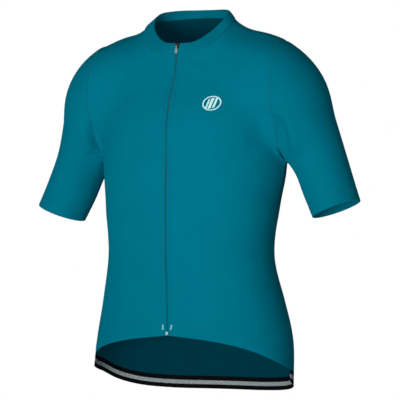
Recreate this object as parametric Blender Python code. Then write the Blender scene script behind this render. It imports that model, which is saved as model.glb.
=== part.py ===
# Short-sleeve cycling jersey, filled out as if worn, hollow inside.
# Metres, +Z up. The front faces -Y and the wearer's left is +X.
# The origin is the point between the shoulders, at the base of the neck, where the wearer holds the garment up.
import bpy
import numpy as np
from math import radians, degrees, sin, cos, pi, sqrt, atan2
from mathutils import Vector

for _o in list(bpy.data.objects):
    bpy.data.objects.remove(_o, do_unlink=True)

# ------------------------------------------------------------------ driving sizes
WALL = 0.0014          # knit cloth with its seam allowance
RIB_WALL = 0.0018      # collar, two layers
BAND_WALL = 0.0016     # elastic hem band
GAP = 0.0003           # clear space between neighbouring pieces
EASE = 0.0002          # what each of two pieces gives up at a seam
NECK_EASE = 0.0002     # the same at the neckline, where the walls meet at an angle

# Body of the garment, level by level.
BODY = [
    # height  half    front  back   centre  square-
    #         width   depth  depth  y       ness
    (-0.760, 0.198, 0.104, 0.124, -0.004, 2.3),
    (-0.660, 0.197, 0.106, 0.123, -0.004, 2.3),
    (-0.600, 0.192, 0.107, 0.120, -0.002, 2.3),
    (-0.519, 0.1765, 0.108, 0.114, -0.002, 2.3),
    (-0.436, 0.162, 0.107, 0.104, -0.008, 2.3),
    (-0.331, 0.1715, 0.114, 0.117, -0.002, 2.3),
    (-0.260, 0.184, 0.116, 0.125, 0.003, 2.3),
    (-0.194, 0.180, 0.1135, 0.125, 0.002, 2.3),
    (-0.140, 0.162, 0.101, 0.114, 0.004, 2.2),
    (-0.100, 0.134, 0.083, 0.095, 0.004, 2.1),
    (-0.060, 0.098, 0.068, 0.074, 0.000, 2.0),
    (-0.025, 0.077, 0.058, 0.066, -0.003, 2.0),
    (0.000, 0.072, 0.056, 0.064, -0.004, 2.0),
    (0.060, 0.071, 0.054, 0.064, -0.008, 2.0),
]
# Shoulder and sleeve: centre line and radius, neck to below the cuff.
ARM = [
    # x       y      z        radius
    (0.050, 0.006, -0.050, 0.052),
    (0.100, 0.010, -0.070, 0.058),
    (0.150, 0.008, -0.0920, 0.0685),
    (0.190, 0.011, -0.136, 0.0730),
    (0.217, 0.020, -0.195, 0.0620),
    (0.2475, 0.026, -0.255, 0.0495),
    (0.272, 0.020, -0.315, 0.0470),
    (0.307, 0.010, -0.395, 0.0450),
]
ARM_DEEP = 1.08        # sleeve sections are this much deeper, front to back
ARM_STEPS = 60
ARM_LIFT = {1: 0.002, -1: -0.002}   # how much higher each cuff is carried, by side
BLEND_TOP = 0.052      # softness of the join over the shoulder
BLEND_PIT = 0.012      # and under the arm

# Neckline: height by angle round the neck, 0 at the front, 180 at the back.
NECK = [
    # angle height
    (0, -0.0580), (20, -0.0575), (36, -0.0525), (50, -0.0415), (64, -0.022), (80, -0.003), (97, 0.006),
    (120, 0.010), (150, 0.013), (180, 0.014),
]
NECK_Y = -0.004
NECK_SIDE = 97.0       # angle at which the shoulder seam meets the neckline
# Top edge of the collar.
RIM_HALF, RIM_FRONT, RIM_BACK, RIM_Y = 0.0735, 0.0575, 0.060, -0.006
RIM = [
    # angle height
    (0, -0.0395), (25, -0.0355), (50, -0.018), (75, 0.004), (100, 0.020), (130, 0.027), (180, 0.029),
]
COLLAR_BOW = 0.0012

# Hems: height by share of the way from the centre line to the side seam.
HEM_FRONT = {1: [
    # share height
    (0.0, -0.5815), (0.10, -0.585), (0.25, -0.5905), (0.5, -0.604), (0.75, -0.622), (1.0, -0.637),
], -1: [
    (0.0, -0.5815), (0.13, -0.585), (0.32, -0.5903), (0.65, -0.6030), (0.85, -0.6135), (1.0, -0.6215),
]}
HEM_BACK = {1: [
    (0.0, -0.668), (0.3, -0.6675), (0.55, -0.663), (0.8, -0.652), (1.0, -0.637),
], -1: [
    (0.0, -0.668), (0.24, -0.6673), (0.44, -0.6618), (0.64, -0.6484), (0.80, -0.6325), (0.92, -0.6245), (1.0, -0.6215),
]}
SIDE_Z = {1: -0.6455, -1: -0.6215}  # where each side seam ends
SIDE_Y = 0.010
SIDE_SWING = {1: 0.0, -1: -0.052}   # how far each side seam swings forward on its way down to the hem
SIDE_TOP = -0.268
BAND = 0.0235          # width of the elastic band on the back hem

# Armhole: the seam's x by angle from the shoulder point (0) to the armpit (180).
HOLE = [
    # angle x
    (0, 0.1860), (45, 0.1885), (90, 0.1900), (135, 0.1900), (180, 0.1885),
]
HOLE_Y, HOLE_Z = 0.012, -0.140
CUFF_AT = {1: 0.889, -1: 0.897}     # share of the way down ARM
CUFF_TILT = 0.39                    # the cuff's plane rises outwards by this slope

ZIP_HALF = 0.0019      # half of the slit that shows the zip
TAPE = 0.0008

# grid sizes
COLS = [0.0, 0.056, 0.15, 0.26, 0.38, 0.50, 0.62, 0.74, 0.87, 1.0]   # shares across a half panel
ROWS_SIDE, ROWS_HOLE = 13, 9       # rows on the side seam, on the armhole
ROWS_NECK_F, ROWS_NECK_B = 6, 3    # rows of those that end on the neckline
SLEEVE_ROWS = 8
COLLAR_ROWS = 3


# ------------------------------------------------------------------ curves and the garment's form
def hermite(T, V, t):
    T = np.asarray(T, float)
    V = np.asarray(V, float)
    o = np.argsort(T)
    T, V = T[o], V[o]
    m = np.gradient(V, T, axis=0)
    t = np.clip(np.asarray(t, float), T[0], T[-1])
    i = np.clip(np.searchsorted(T, t, side='right') - 1, 0, len(T) - 2)
    h = T[i + 1] - T[i]
    s = (t - T[i]) / h
    if V.ndim > 1:
        s, h = s[..., None], h[..., None]
    return ((2 * s**3 - 3 * s**2 + 1) * V[i] + (s**3 - 2 * s**2 + s) * h * m[i]
            + (-2 * s**3 + 3 * s**2) * V[i + 1] + (s**3 - s**2) * h * m[i + 1])


def table(rows, t, col=1):
    T = np.array(rows, float)
    return hermite(T[:, 0], T[:, col], t)


_B = np.array(BODY)
_A = np.array(ARM)
_run = np.concatenate([[0], np.cumsum(np.linalg.norm(np.diff(_A[:, :3], axis=0), axis=1))])
_u = np.linspace(0, 1, ARM_STEPS)
CHAIN = {}
for _s in (1, -1):
    _c = hermite(_run, _A, _u * _run[-1])
    _c[:, 0] *= _s
    _c[:, 2] += ARM_LIFT[_s] * np.clip((_u - 0.3) / 0.7, 0, 1)
    CHAIN[_s] = _c


def body_raw(p):
    a, bf, bb, yc, n = hermite(_B[:, 0], _B[:, 1:], p[:, 2]).T
    x, y = np.abs(p[:, 0]), p[:, 1] - yc
    b = np.where(y < 0, bf, bb)
    rho = ((x / a) ** n + (np.abs(y) / b) ** n) ** (1 / n)
    return np.hypot(x, y) * (1 - 1 / np.maximum(rho, 1e-6))


def slope(f, p, e=5e-4):
    g = np.empty_like(p)
    for k in range(3):
        d = np.zeros(3)
        d[k] = e
        g[:, k] = (f(p + d) - f(p - d)) / (2 * e)
    return g


def body_dist(p):
    return body_raw(p) / np.maximum(np.linalg.norm(slope(body_raw, p), axis=1), 0.6)


def arm_dist(p):
    best = np.full(len(p), 1e3)
    for s in (1, -1):
        m = p[:, 0] * s > -0.01
        q = p[m]
        b = np.full(len(q), 1e3)
        for c in CHAIN[s]:
            d = np.sqrt((q[:, 0] - c[0])**2 + ((q[:, 1] - c[1]) / ARM_DEEP)**2 + (q[:, 2] - c[2])**2) - c[3]
            np.minimum(b, d, out=b)
        best[m] = np.minimum(best[m], b)
    return best


def form(p):
    """how far p is outside (+) or inside (-) the garment's outer surface"""
    a, b = body_dist(p), arm_dist(p)
    w = np.clip((p[:, 2] + 0.215) / 0.09, 0, 1)
    k = BLEND_PIT + (BLEND_TOP - BLEND_PIT) * w * w * (3 - 2 * w)
    h = np.clip(0.5 + 0.5 * (b - a) / k, 0, 1)
    return b * (1 - h) + a * h - k * h * (1 - h)


def outward(p):
    q = np.asarray(p, float).reshape(-1, 3)
    g = slope(form, q, 1e-3)
    return (g / np.linalg.norm(g, axis=1)[:, None]).reshape(np.shape(p))


def onto(p, steps=6):
    """the nearest points of the form"""
    shape = np.shape(p)
    q = np.array(p, float).reshape(-1, 3)
    for _ in range(steps):
        g = slope(form, q)
        d = (form(q) / np.maximum((g * g).sum(1), 0.2))[:, None] * g
        n = np.linalg.norm(d, axis=1)[:, None]
        q = q - d * np.minimum(1, 0.03 / np.maximum(n, 1e-9))
    return q.reshape(shape)


def leave(origin, direction, far=0.3, n=70, f=form):
    """where rays from inside the form first leave it"""
    direction = np.atleast_2d(direction)
    o = np.broadcast_to(np.asarray(origin, float), direction.shape)
    r = np.linspace(0.002, far, n)
    v = f((o[:, None] + direction[:, None] * r[None, :, None]).reshape(-1, 3)).reshape(len(o), n)
    k = np.maximum(np.argmax(v > 0, axis=1), 1)
    lo, hi = r[k - 1], r[k]
    for _ in range(24):
        mid = (lo + hi) / 2
        w = f(o + direction * mid[:, None])
        hi = np.where(w > 0, mid, hi)
        lo = np.where(w > 0, lo, mid)
    return o + direction * ((lo + hi) / 2)[:, None]


def steps_along(P, shares):
    """points along a polyline at shares of its length"""
    P = np.asarray(P, float)
    L = np.concatenate([[0], np.cumsum(np.linalg.norm(np.diff(P, axis=0), axis=1))])
    t = np.asarray(shares, float) * L[-1]
    return np.stack([np.interp(t, L, P[:, k]) for k in range(3)], 1)


def even(P, n):
    return steps_along(P, np.linspace(0, 1, n + 1))


# ------------------------------------------------------------------ seam lines, s = 1 wearer's left, -1 right
def neckline(s, back):
    """centre line to shoulder seam"""
    a = np.linspace(180 if back else 1.7, NECK_SIDE, 40)
    z = table(NECK, a)
    r = np.radians(a)
    d = np.stack([s * np.sin(r), -np.cos(r), 0 * r], 1)
    return leave(np.stack([0 * a, 0 * a + NECK_Y, z], 1), d, 0.2)


def centre_line(s, back):
    """hem to neckline"""
    top = neckline(s, back)[0]
    z = np.linspace((HEM_BACK if back else HEM_FRONT)[s][0][1], top[2], 60)
    x = 0 * z if back else 0 * z + s * ZIP_HALF
    P = leave(np.stack([x, 0 * z, z], 1), np.tile([0, 1.0 if back else -1.0, 0], (60, 1)), 0.2)
    P[-1] = top
    return P


def hem(s, back, n=40):
    """centre line to side seam"""
    rows = (HEM_BACK if back else HEM_FRONT)[s]
    u = np.linspace(0, 1, n)
    z = table(rows, u) + (SIDE_Z[s] - rows[-1][1]) * u**3
    a, bf, bb, yc, m = hermite(_B[:, 0], _B[:, 1:], z).T
    y = SIDE_Y + SIDE_SWING[s] - yc
    end = np.sign(y) * np.arcsin(np.clip(np.abs(y) / np.where(y > 0, bb, bf), 0, 1) ** (m / 2))
    th = (pi / 2 + (end - pi / 2) * u) if back else (-pi / 2 + (end + pi / 2) * u)
    b = np.where(th > 0, bb, bf)
    P = np.stack([s * a * np.abs(np.cos(th)) ** (2 / m),
                  yc + b * np.sign(th) * np.abs(np.sin(th)) ** (2 / m), z], 1)
    if not back:
        P[0, 0] = s * ZIP_HALF
    return onto(P)


def hole(s, back, n=60):
    """armpit to shoulder point"""
    a = np.linspace(180, 0, n)
    x = table(HOLE, a) * s
    r = np.radians(a)
    d = np.stack([0 * r, np.sin(r) * (1 if back else -1), np.cos(r)], 1)
    return leave(np.stack([x, 0 * x + HOLE_Y, 0 * x + HOLE_Z], 1), d, 0.2)


def side_seam(s):
    """hem to armpit"""
    z = np.linspace(SIDE_Z[s], SIDE_TOP, 50)
    y = SIDE_Y + SIDE_SWING[s] * ((z - SIDE_TOP) / (SIDE_Z[s] - SIDE_TOP)) ** 3
    P = leave(np.stack([0 * z, y, z], 1), np.tile([float(s), 0, 0], (50, 1)), 0.3)
    P[0] = hem(s, False)[-1]
    return np.vstack([P, hole(s, False)[:1]])


def shoulder_seam(s, n=40):
    """neckline to shoulder point, along the top of the shoulder"""
    a, b = neckline(s, False)[-1], hole(s, False)[-1]
    t = np.linspace(0, 1, n)[:, None]
    return onto(a + (b - a) * t)


# ------------------------------------------------------------------ panels as grids of points on the form
def half_panel(s, back):
    """grid [row, column]: rows from the hem up, columns from the centre line out to the side"""
    neck_rows = ROWS_NECK_B if back else ROWS_NECK_F
    rows = ROWS_SIDE + ROWS_HOLE
    left = np.vstack([even(centre_line(s, back), rows - neck_rows), even(neckline(s, back), neck_rows)[1:]])
    right = np.vstack([even(side_seam(s), ROWS_SIDE), even(hole(s, back), ROWS_HOLE)[1:]])
    left[0], right[0] = hem(s, back)[0], hem(s, back)[-1]
    fine = 36
    low, top = even(hem(s, back), fine), even(shoulder_seam(s), fine)
    u = np.linspace(0, 1, fine + 1)[None, :, None]
    v = np.linspace(0, 1, rows + 1)[:, None, None]
    P = ((1 - u) * left[:, None] + u * right[:, None] + (1 - v) * low[None] + v * top[None]
         - (1 - u) * (1 - v) * left[0] - u * (1 - v) * right[0] - (1 - u) * v * left[-1] - u * v * right[-1])
    P[1:-1, 1:-1] = onto(P[1:-1, 1:-1], 8)
    G = np.stack([steps_along(row, COLS) for row in P])
    G = onto(G, 3)
    # keep the shared seam points exactly as both neighbours have them
    G[:, 0], G[:, -1] = left, right
    G[0] = steps_along(hem(s, back), COLS)
    G[-1] = steps_along(shoulder_seam(s), COLS)
    return G


def unit(v):
    return v / np.maximum(np.linalg.norm(v, axis=-1, keepdims=True), 1e-12)


def clear(E, N, inside, by, loop=False):
    """seam points E moved by `by` along the surface, square to the seam, towards the points `inside`"""
    T = np.roll(E, -1, 0) - np.roll(E, 1, 0) if loop else np.gradient(E, axis=0)
    D = unit(np.cross(unit(N), unit(T)))
    return E + D * np.sign(((inside - E) * D).sum(-1, keepdims=True)) * by


def draw_in(G, N, sides, by=EASE):
    """move the named edges of a grid in by the seam's ease; a corner that two of them share moves by both"""
    H = G.copy()
    if 'right' in sides:
        H[:, -1] += clear(G[:, -1], N[:, -1], G[:, -2], by) - G[:, -1]
    if 'low' in sides:
        H[0] += clear(G[0], N[0], G[1], by) - G[0]
    if 'top' in sides:
        H[-1] += clear(G[-1], N[-1], G[-2], by) - G[-1]
    return H


def ring_points(s):
    """armhole points, armpit, up the front, over the shoulder and down the back"""
    f, b = even(hole(s, False), ROWS_HOLE), even(hole(s, True), ROWS_HOLE)
    return np.vstack([f, b[::-1][1:-1]])


def cuff_points(s):
    u = np.linspace(0, 1, ARM_STEPS)
    c = np.array([np.interp(CUFF_AT[s], u, CHAIN[s][:, k]) for k in range(3)])
    n = np.array([s * CUFF_TILT, 0.0, -1.0])
    n /= np.linalg.norm(n)
    inn = np.array([-s, 0, 0.0])
    inn -= n * (inn @ n)
    inn /= np.linalg.norm(inn)
    a = np.linspace(0, 2 * pi, 2 * ROWS_HOLE + 1)[:-1]
    d = np.cos(a)[:, None] * inn + np.sin(a)[:, None] * np.array([0, -1.0, 0])
    return leave(np.tile(c, (len(a), 1)), d, 0.09, 60, arm_dist)


def sleeve(s):
    """grid [ring, point round the arm]"""
    A, C = ring_points(s), cuff_points(s)
    v = np.linspace(0, 1, SLEEVE_ROWS + 1)[:, None, None]
    G = A[None] * (1 - v) + C[None] * v
    for k in range(4):
        G[1:-1] = onto(G[1:-1], 5)
        side = (np.roll(G[1:-1], 1, 1) + np.roll(G[1:-1], -1, 1)) / 2
        along = (G[:-2] + G[2:]) / 2
        G[1:-1] += 0.5 * ((side + along) / 2 - G[1:-1])
    G[1:-1] = onto(G[1:-1], 6)
    return G


def rim(s, angles):
    r = np.radians(angles)
    z = table(RIM, angles)
    b = np.where(np.cos(r) > 0, RIM_FRONT, RIM_BACK)
    return np.stack([s * RIM_HALF * np.sin(r), RIM_Y - b * np.cos(r), z], 1)


def collar():
    """grid [row up, point round], from the wearer's right of the zip round the back to the left"""
    def half(s):
        low = np.vstack([even(neckline(s, False), ROWS_NECK_F),
                         even(neckline(s, True), ROWS_NECK_B)[::-1][1:]])
        a = np.degrees(np.arctan2(s * low[:, 0], -(low[:, 1] - NECK_Y)))
        a[-1] = 180
        top = rim(s, a)
        top[0, 0] = s * ZIP_HALF
        return low, top
    (l1, t1), (l2, t2) = half(-1), half(1)
    low = np.vstack([l1, l2[::-1][1:]])
    top = np.vstack([t1, t2[::-1][1:]])
    v = np.linspace(0, 1, COLLAR_ROWS + 1)[:, None, None]
    G = low[None] * (1 - v) + top[None] * v
    out = G - np.array([0, NECK_Y, 0])
    out[..., 2] = 0
    out /= np.linalg.norm(out, axis=-1, keepdims=True)
    G += out * COLLAR_BOW * (4 * v * (1 - v))
    G[:, 0, 0], G[:, -1, 0] = -ZIP_HALF, ZIP_HALF
    return G


# ------------------------------------------------------------------ meshes
MATS = {}


def material(name, colour, rough, metal=0.0):
    m = bpy.data.materials.new(name)
    m.use_nodes = True
    b = m.node_tree.nodes['Principled BSDF']
    b.inputs['Base Color'].default_value = (*colour, 1)
    b.inputs['Roughness'].default_value = rough
    b.inputs['Metallic'].default_value = metal
    MATS[name] = m
    return m


material('knit', (0.0, 0.168, 0.245), 0.75)
material('knit_sleeve', (0.0, 0.155, 0.225), 0.75)
material('knit_collar', (0.0, 0.175, 0.25), 0.75)
material('elastic', (0.006, 0.007, 0.009), 0.7)
material('zip_cloth', (0.0, 0.09, 0.12), 0.7)
material('metal', (0.55, 0.57, 0.58), 0.3, 1.0)
material('reflective', (0.5, 0.85, 0.88), 0.3)
material('print', (0.62, 0.93, 0.92), 0.5)


def make(name, verts, faces, mat, smooth=True):
    me = bpy.data.meshes.new(name)
    me.from_pydata([tuple(map(float, v)) for v in verts], [], faces)
    me.update()
    c = sum((p.center for p in me.polygons), Vector()) / len(me.polygons)
    if sum(p.normal.dot(p.center - c) * p.area for p in me.polygons) < 0:
        me.flip_normals()
    me.materials.append(MATS[mat])
    ob = bpy.data.objects.new(name, me)
    bpy.context.scene.collection.objects.link(ob)
    if smooth:
        me.shade_smooth()
        me.set_sharp_from_angle(angle=radians(35))
    return ob


def grid_faces(rows, cols, wrap=False, flip=False, start=0):
    F = []
    for i in range(rows - 1):
        for j in range(cols if wrap else cols - 1):
            k = (j + 1) % cols
            q = (start + i * cols + j, start + i * cols + k, start + (i + 1) * cols + k, start + (i + 1) * cols + j)
            F.append(q[::-1] if flip else q)
    return F


def mesh_normals(V, F):
    V = np.asarray(V)
    N = np.zeros_like(V)
    for f in F:
        a, b, c, d = (V[k] for k in f)
        n = np.cross(c - a, d - b)
        for k in f:
            N[k] += n
    return N / np.maximum(np.linalg.norm(N, axis=1)[:, None], 1e-12)


def halves(V, f):
    """a quad's two triangles, cut along its shorter diagonal, so that pieces made from the same points match"""
    if len(f) == 3:
        return [f]
    a, b, c, d = f
    if np.linalg.norm(V[a] - V[c]) <= np.linalg.norm(V[b] - V[d]) + 1e-7:
        return [(a, b, c), (a, c, d)]
    return [(a, b, d), (b, c, d)]


def wall(name, V, F, N, thick, mat, out=0.0):
    """a closed wall: outer face at V + out, inner face thick below it, closed round its edges"""
    V, N = np.asarray(V, float), np.asarray(N, float)
    n = len(V)
    used = {}
    for f in F:
        for a, b in zip(f, f[1:] + f[:1]):
            used[(a, b)] = True
    edge = [(a, b) for (a, b) in used if (b, a) not in used]
    F = [t for f in F for t in halves(V, f)]
    faces = list(F) + [tuple(k + n for k in f[::-1]) for f in F]
    lean = V @ np.array([0.37, 0.11, 1.0])
    for a, b in edge:             # the edge faces of two neighbours are cut the same way
        if lean[a] < lean[b]:
            faces += [(b, a, b + n), (a, a + n, b + n)]
        else:
            faces += [(b, a, a + n), (b, a + n, b + n)]
    return make(name, np.vstack([V + N * out, V + N * (out - thick)]), faces, mat)


def facing(V, F, N):
    """turn the faces so that they look along N"""
    f = F[len(F) // 2]
    a, b, c, d = (V[k] for k in f)
    return F if np.cross(c - a, d - b) @ N[f[0]] > 0 else [q[::-1] for q in F]


def grid_wall(name, G, N, thick, mat, wrap=False, out=0.0):
    V, M = G.reshape(-1, 3), N.reshape(-1, 3)
    F = facing(V, grid_faces(G.shape[0], G.shape[1], wrap), M)
    return wall(name, V, F, M, thick, mat, out)


# ------------------------------------------------------------------ cloth
GF = {s: half_panel(s, False) for s in (1, -1)}
GB = {s: half_panel(s, True) for s in (1, -1)}
NF = {s: outward(GF[s]) for s in (1, -1)}
NB = {s: outward(GB[s]) for s in (1, -1)}
ROWS = ROWS_SIDE + ROWS_HOLE
CF_F, CF_B = ROWS - ROWS_NECK_F, ROWS - ROWS_NECK_B     # row where the centre line reaches the neckline


GC = collar()
NC = mesh_normals(GC.reshape(-1, 3), grid_faces(*GC.shape[:2])).reshape(GC.shape)
if NC[1, GC.shape[1] // 2, 1] < 0:
    NC = -NC
NC[:, 0, 0] = NC[:, -1, 0] = 0
NC /= np.linalg.norm(NC, axis=-1, keepdims=True)

# At the neckline the collar and the panels share one mitred direction, so that their edges face each other.
ring = GC.shape[1]
for j in range(ring):
    s = -1 if j <= ring // 2 else 1
    k = j if s < 0 else ring - 1 - j
    spots = []
    if k <= ROWS_NECK_F:
        spots.append((NF[s], CF_F + k))
    if k >= ROWS_NECK_F:
        spots.append((NB[s], CF_B + (ROWS_NECK_F + ROWS_NECK_B - k)))
        if k == ROWS_NECK_F + ROWS_NECK_B:
            spots.append((NB[1], CF_B))
    m = spots[0][0][spots[0][1], 0] + NC[0, j]
    if k == ROWS_NECK_F + ROWS_NECK_B:
        m[0] = 0
    m /= np.linalg.norm(m)
    m = m / max(m @ NC[0, j], 0.75)
    NC[0, j] = m
    for grid, row in spots:
        grid[row, 0] = m


def seam_ease(G, N, back):
    """front and back halves: pull every seam edge in, the hem of the back too, where the band joins it"""
    H = draw_in(G, N, ('right', 'top') + (('low',) if back else ()))
    top = CF_B if back else CF_F
    E = G[top:, 0]
    H[top:, 0] += clear(E, N[top:, 0], G[top:, 1], NECK_EASE) - E
    H[top, 0] = G[top, 0] + unit(G[top - 1, 0] - G[top, 0]) * NECK_EASE
    return H


for s, name in ((1, 'front_left'), (-1, 'front_right')):
    grid_wall(name, seam_ease(GF[s], NF[s], False), NF[s], WALL, 'knit')

# The back is one piece: both halves share the centre column up to the neckline.
HB = {s: seam_ease(GB[s], NB[s], True) for s in (1, -1)}
rows, cols = HB[1].shape[:2]
V = [*HB[1].reshape(-1, 3)]
N = [*NB[1].reshape(-1, 3)]
index = -np.ones((rows, cols), int)
for i in range(rows):
    for j in range(cols):
        if j == 0 and i <= CF_B:
            index[i, j] = i * cols
        else:
            index[i, j] = len(V)
            V.append(HB[-1][i, j])
            N.append(NB[-1][i, j])
V, N = np.array(V), np.array(N)
for i in range(CF_B + 1):
    V[i * cols, 0] = 0
    N[i * cols, 0] = 0
F = facing(V, grid_faces(rows, cols), N)
F2 = [(int(index[i, j]), int(index[i, j + 1]), int(index[i + 1, j + 1]), int(index[i + 1, j]))
      for i in range(rows - 1) for j in range(cols - 1)]
back = wall('back', V, F + facing(V, F2, N), N, WALL, 'knit')

for s, name in ((1, 'sleeve_left'), (-1, 'sleeve_right')):
    G = sleeve(s)
    N = outward(G)
    G[0] = clear(G[0], N[0], G[1], EASE, loop=True)
    grid_wall(name, G, N, WALL, 'knit_sleeve', wrap=True)

HC = draw_in(GC, NC, ('low',), NECK_EASE)
grid_wall('collar', HC, NC, RIB_WALL, 'knit_collar')

# Elastic band: carries on down from the back panel's edge, side seam to side seam.
low = {s: GB[s][0] for s in (1, -1)}
edge = np.vstack([low[-1][::-1], low[1][1:]])
down = np.array([0, 0, -1.0])
ends = np.array([EASE, BAND / 2, BAND])
GH = onto(edge[None] + ends[:, None, None] * down, 3)
NH = outward(GH)
for col, side in ((0, -1), (-1, 1)):     # clear of the front panels at both ends
    d = GH[:, 1 if col == 0 else -2] - GH[:, col]
    GH[:, col] += d / np.linalg.norm(d, axis=-1, keepdims=True) * EASE
grid_wall('hem_gripper', GH, NH, BAND_WALL, 'elastic')

# Pocket panel: lies on the back, made from the back's own points.
POCKET_ROWS, POCKET_COLS, POCKET_WALL = (1, 7), 7, 0.0012
i0, i1 = POCKET_ROWS
PG = np.concatenate([GB[-1][i0:i1 + 1, POCKET_COLS:0:-1], GB[1][i0:i1 + 1, :POCKET_COLS + 1]], axis=1)
PN = np.concatenate([NB[-1][i0:i1 + 1, POCKET_COLS:0:-1], NB[1][i0:i1 + 1, :POCKET_COLS + 1]], axis=1)
grid_wall('rear_pocket', PG, PN, POCKET_WALL, 'knit', out=GAP + POCKET_WALL)


# ------------------------------------------------------------------ zip
def zip_rows():
    """for each height: the slit's two edges, the tape's two edges, and their normals, hem to collar top"""
    out = []
    for i in range(CF_F):
        out.append([GF[-1][i, 1], GF[-1][i, 0], GF[1][i, 0], GF[1][i, 1],
                    NF[-1][i, 1], NF[-1][i, 0], NF[1][i, 0], NF[1][i, 1]])
    i = CF_F                              # neckline: between the panels and the collar
    def mean(a, b):
        m = a + b
        return m / np.linalg.norm(m)
    out.append([GF[-1][i, 1], GF[-1][i, 0], GF[1][i, 0], GF[1][i, 1],
                mean(NF[-1][i, 1], NC[0, 1]), mean(NF[-1][i, 0], NC[0, 0]),
                mean(NF[1][i, 0], NC[0, -1]), mean(NF[1][i, 1], NC[0, -2])])
    for k in range(1, COLLAR_ROWS + 1):
        out.append([GC[k, 1], GC[k, 0], GC[k, -1], GC[k, -2], NC[k, 1], NC[k, 0], NC[k, -1], NC[k, -2]])
    return out


TAPE_REACH = 0.012
DEEP = RIB_WALL + 0.0007                  # the tape lies under the thickest cloth that it meets
section = []
for k, (tl, sl, sr, tr, nl, ml, mr, nr) in enumerate(zip_rows()):
    def reach(a, b):
        d = b - a
        L = np.linalg.norm(d)
        return a + d * min(1.0, TAPE_REACH / L)
    L_, R_ = reach(sl, tl), reach(sr, tr)
    m = ml + mr
    m /= np.linalg.norm(m)
    inner = GAP
    cl, cr = sl + np.array([inner, 0, 0]), sr - np.array([inner, 0, 0])
    section.append([L_ - nl * DEEP, cl - ml * DEEP, cl - m * 0.0004, cr - m * 0.0004, cr - mr * DEEP, R_ - nr * DEEP,
                    R_ - nr * (DEEP + TAPE), L_ - nl * (DEEP + TAPE)])
S = np.array(section)
S[-1] += (S[-2] - S[-1]) / np.linalg.norm(S[-2] - S[-1], axis=-1, keepdims=True) * 0.001
n, m = S.shape[:2]
F = grid_faces(n, m, wrap=True) + [tuple(range(m))[::-1], tuple((n - 1) * m + k for k in range(m))]
chain = make('zip_chain', S.reshape(-1, 3), F, 'zip_cloth')


def box_between(name, P, N, half, out0, out1, mat):
    """a small slab that follows the line of points P, half wide in x, between two heights over it"""
    V = []
    for p, q in zip(P, N):
        for x, h in ((-half, out0), (half, out0), (half, out1), (-half, out1)):
            V.append(p + np.array([x, 0, 0]) + q * h)
    k = len(P)
    F = grid_faces(k, 4, wrap=True) + [(3, 2, 1, 0), tuple((k - 1) * 4 + j for j in range(4))]
    return make(name, V, F, mat, smooth=False)


def on_front(x, z):
    """points of the form's front at given x and z"""
    x, z = np.atleast_1d(x).astype(float), np.atleast_1d(z).astype(float)
    return leave(np.stack([x, 0 * x, z], 1), np.tile([0, -1.0, 0], (len(x), 1)), 0.2)


STOP_Z, STOP_LEN, STOP_HALF = -0.5745, 0.006, 0.0024
P = on_front([0, 0], [STOP_Z - STOP_LEN, STOP_Z])
box_between('zip_bottom_stop', P, outward(P), STOP_HALF, GAP + 0.0001, 0.0016, 'metal')

# Slider: a plate over the zip at the collar's top, with two ears and a pin for the tab.
rim_c, low_c = (GC[-1, 0] + GC[-1, -1]) / 2, (GC[0, 0] + GC[0, -1]) / 2
along = rim_c - low_c
along /= np.linalg.norm(along)
face = np.array([0, -along[2], along[1]])
if face[1] > 0:
    face = -face
SL_LEN, SL_HALF, SL_THICK = 0.0090, 0.0041, 0.0012
PIN_R, BORE_R, EYE_R = 0.0005, 0.0008, 0.0015
PIN_OUT = COLLAR_BOW + GAP + SL_THICK + EYE_R + 0.0004   # pin's height over the cloth
EAR_IN, EAR_OUT = 0.0017, 0.0027
top_c = rim_c - along * 0.0010
bow = COLLAR_BOW


def bm_box(name, origin, ey, ez, x0, x1, y0, y1, z0, z1, mat):
    """box with x along +X, y along ey (up the zip), z along ez (out of the cloth)"""
    ex = np.array([1.0, 0, 0])
    V = [origin + ex * x + ey * y + ez * z for z in (z0, z1) for y in (y0, y1) for x in (x0, x1)]
    F = [(0, 2, 3, 1), (4, 5, 7, 6), (0, 1, 5, 4), (2, 6, 7, 3), (0, 4, 6, 2), (1, 3, 7, 5)]
    return make(name, V, F, mat, smooth=False)


def turn_prism(name, origin, ey, ez, outline, x0, x1, mat):
    """prism along X from a closed outline in (up the zip, out of the cloth)"""
    k = len(outline)
    V = [origin + np.array([x, 0, 0]) + ey * a + ez * b for x in (x0, x1) for a, b in outline]
    F = [(j, (j + 1) % k, k + (j + 1) % k, k + j) for j in range(k)] + [tuple(range(k))[::-1], tuple(range(k, 2 * k))]
    return make(name, V, F, mat, smooth=False)


def boolean(target, other, kind):
    mod = target.modifiers.new('b', 'BOOLEAN')
    mod.operation = kind
    mod.solver = 'EXACT'
    mod.object = other
    other.hide_render = True
    other.display_type = 'WIRE'


def circle(r, n, c=(0.0, 0.0)):
    return [(c[0] + r * cos(2 * pi * k / n), c[1] + r * sin(2 * pi * k / n)) for k in range(n)]


HINGE_DOWN = 0.0062                  # pin below the slider's top
hinge = top_c - along * HINGE_DOWN + face * PIN_OUT
s0 = COLLAR_BOW + GAP
plate = bm_box('zip_slider', top_c, along, face, -SL_HALF, SL_HALF, -SL_LEN, 0, s0, s0 + SL_THICK, 'metal')
ears = []
for k, (x0, x1) in enumerate(((-EAR_OUT, -EAR_IN), (EAR_IN, EAR_OUT))):
    a, b = -0.0014, 0.0014
    base = s0 + SL_THICK - PIN_OUT - 0.0005
    o = [(a, base), (b, base), (b, 0.0002), (0.0010, 0.0010), (0.0, 0.0014), (-0.0010, 0.0010), (a, 0.0002)]
    ear = turn_prism('ear_%d' % k, hinge, along, face, o, x0, x1, 'metal')
    boolean(plate, ear, 'UNION')
pin = turn_prism('pin', hinge, along, face, circle(PIN_R, 12), -EAR_IN - 0.0004, EAR_IN + 0.0004, 'metal')
boolean(plate, pin, 'UNION')

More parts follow.
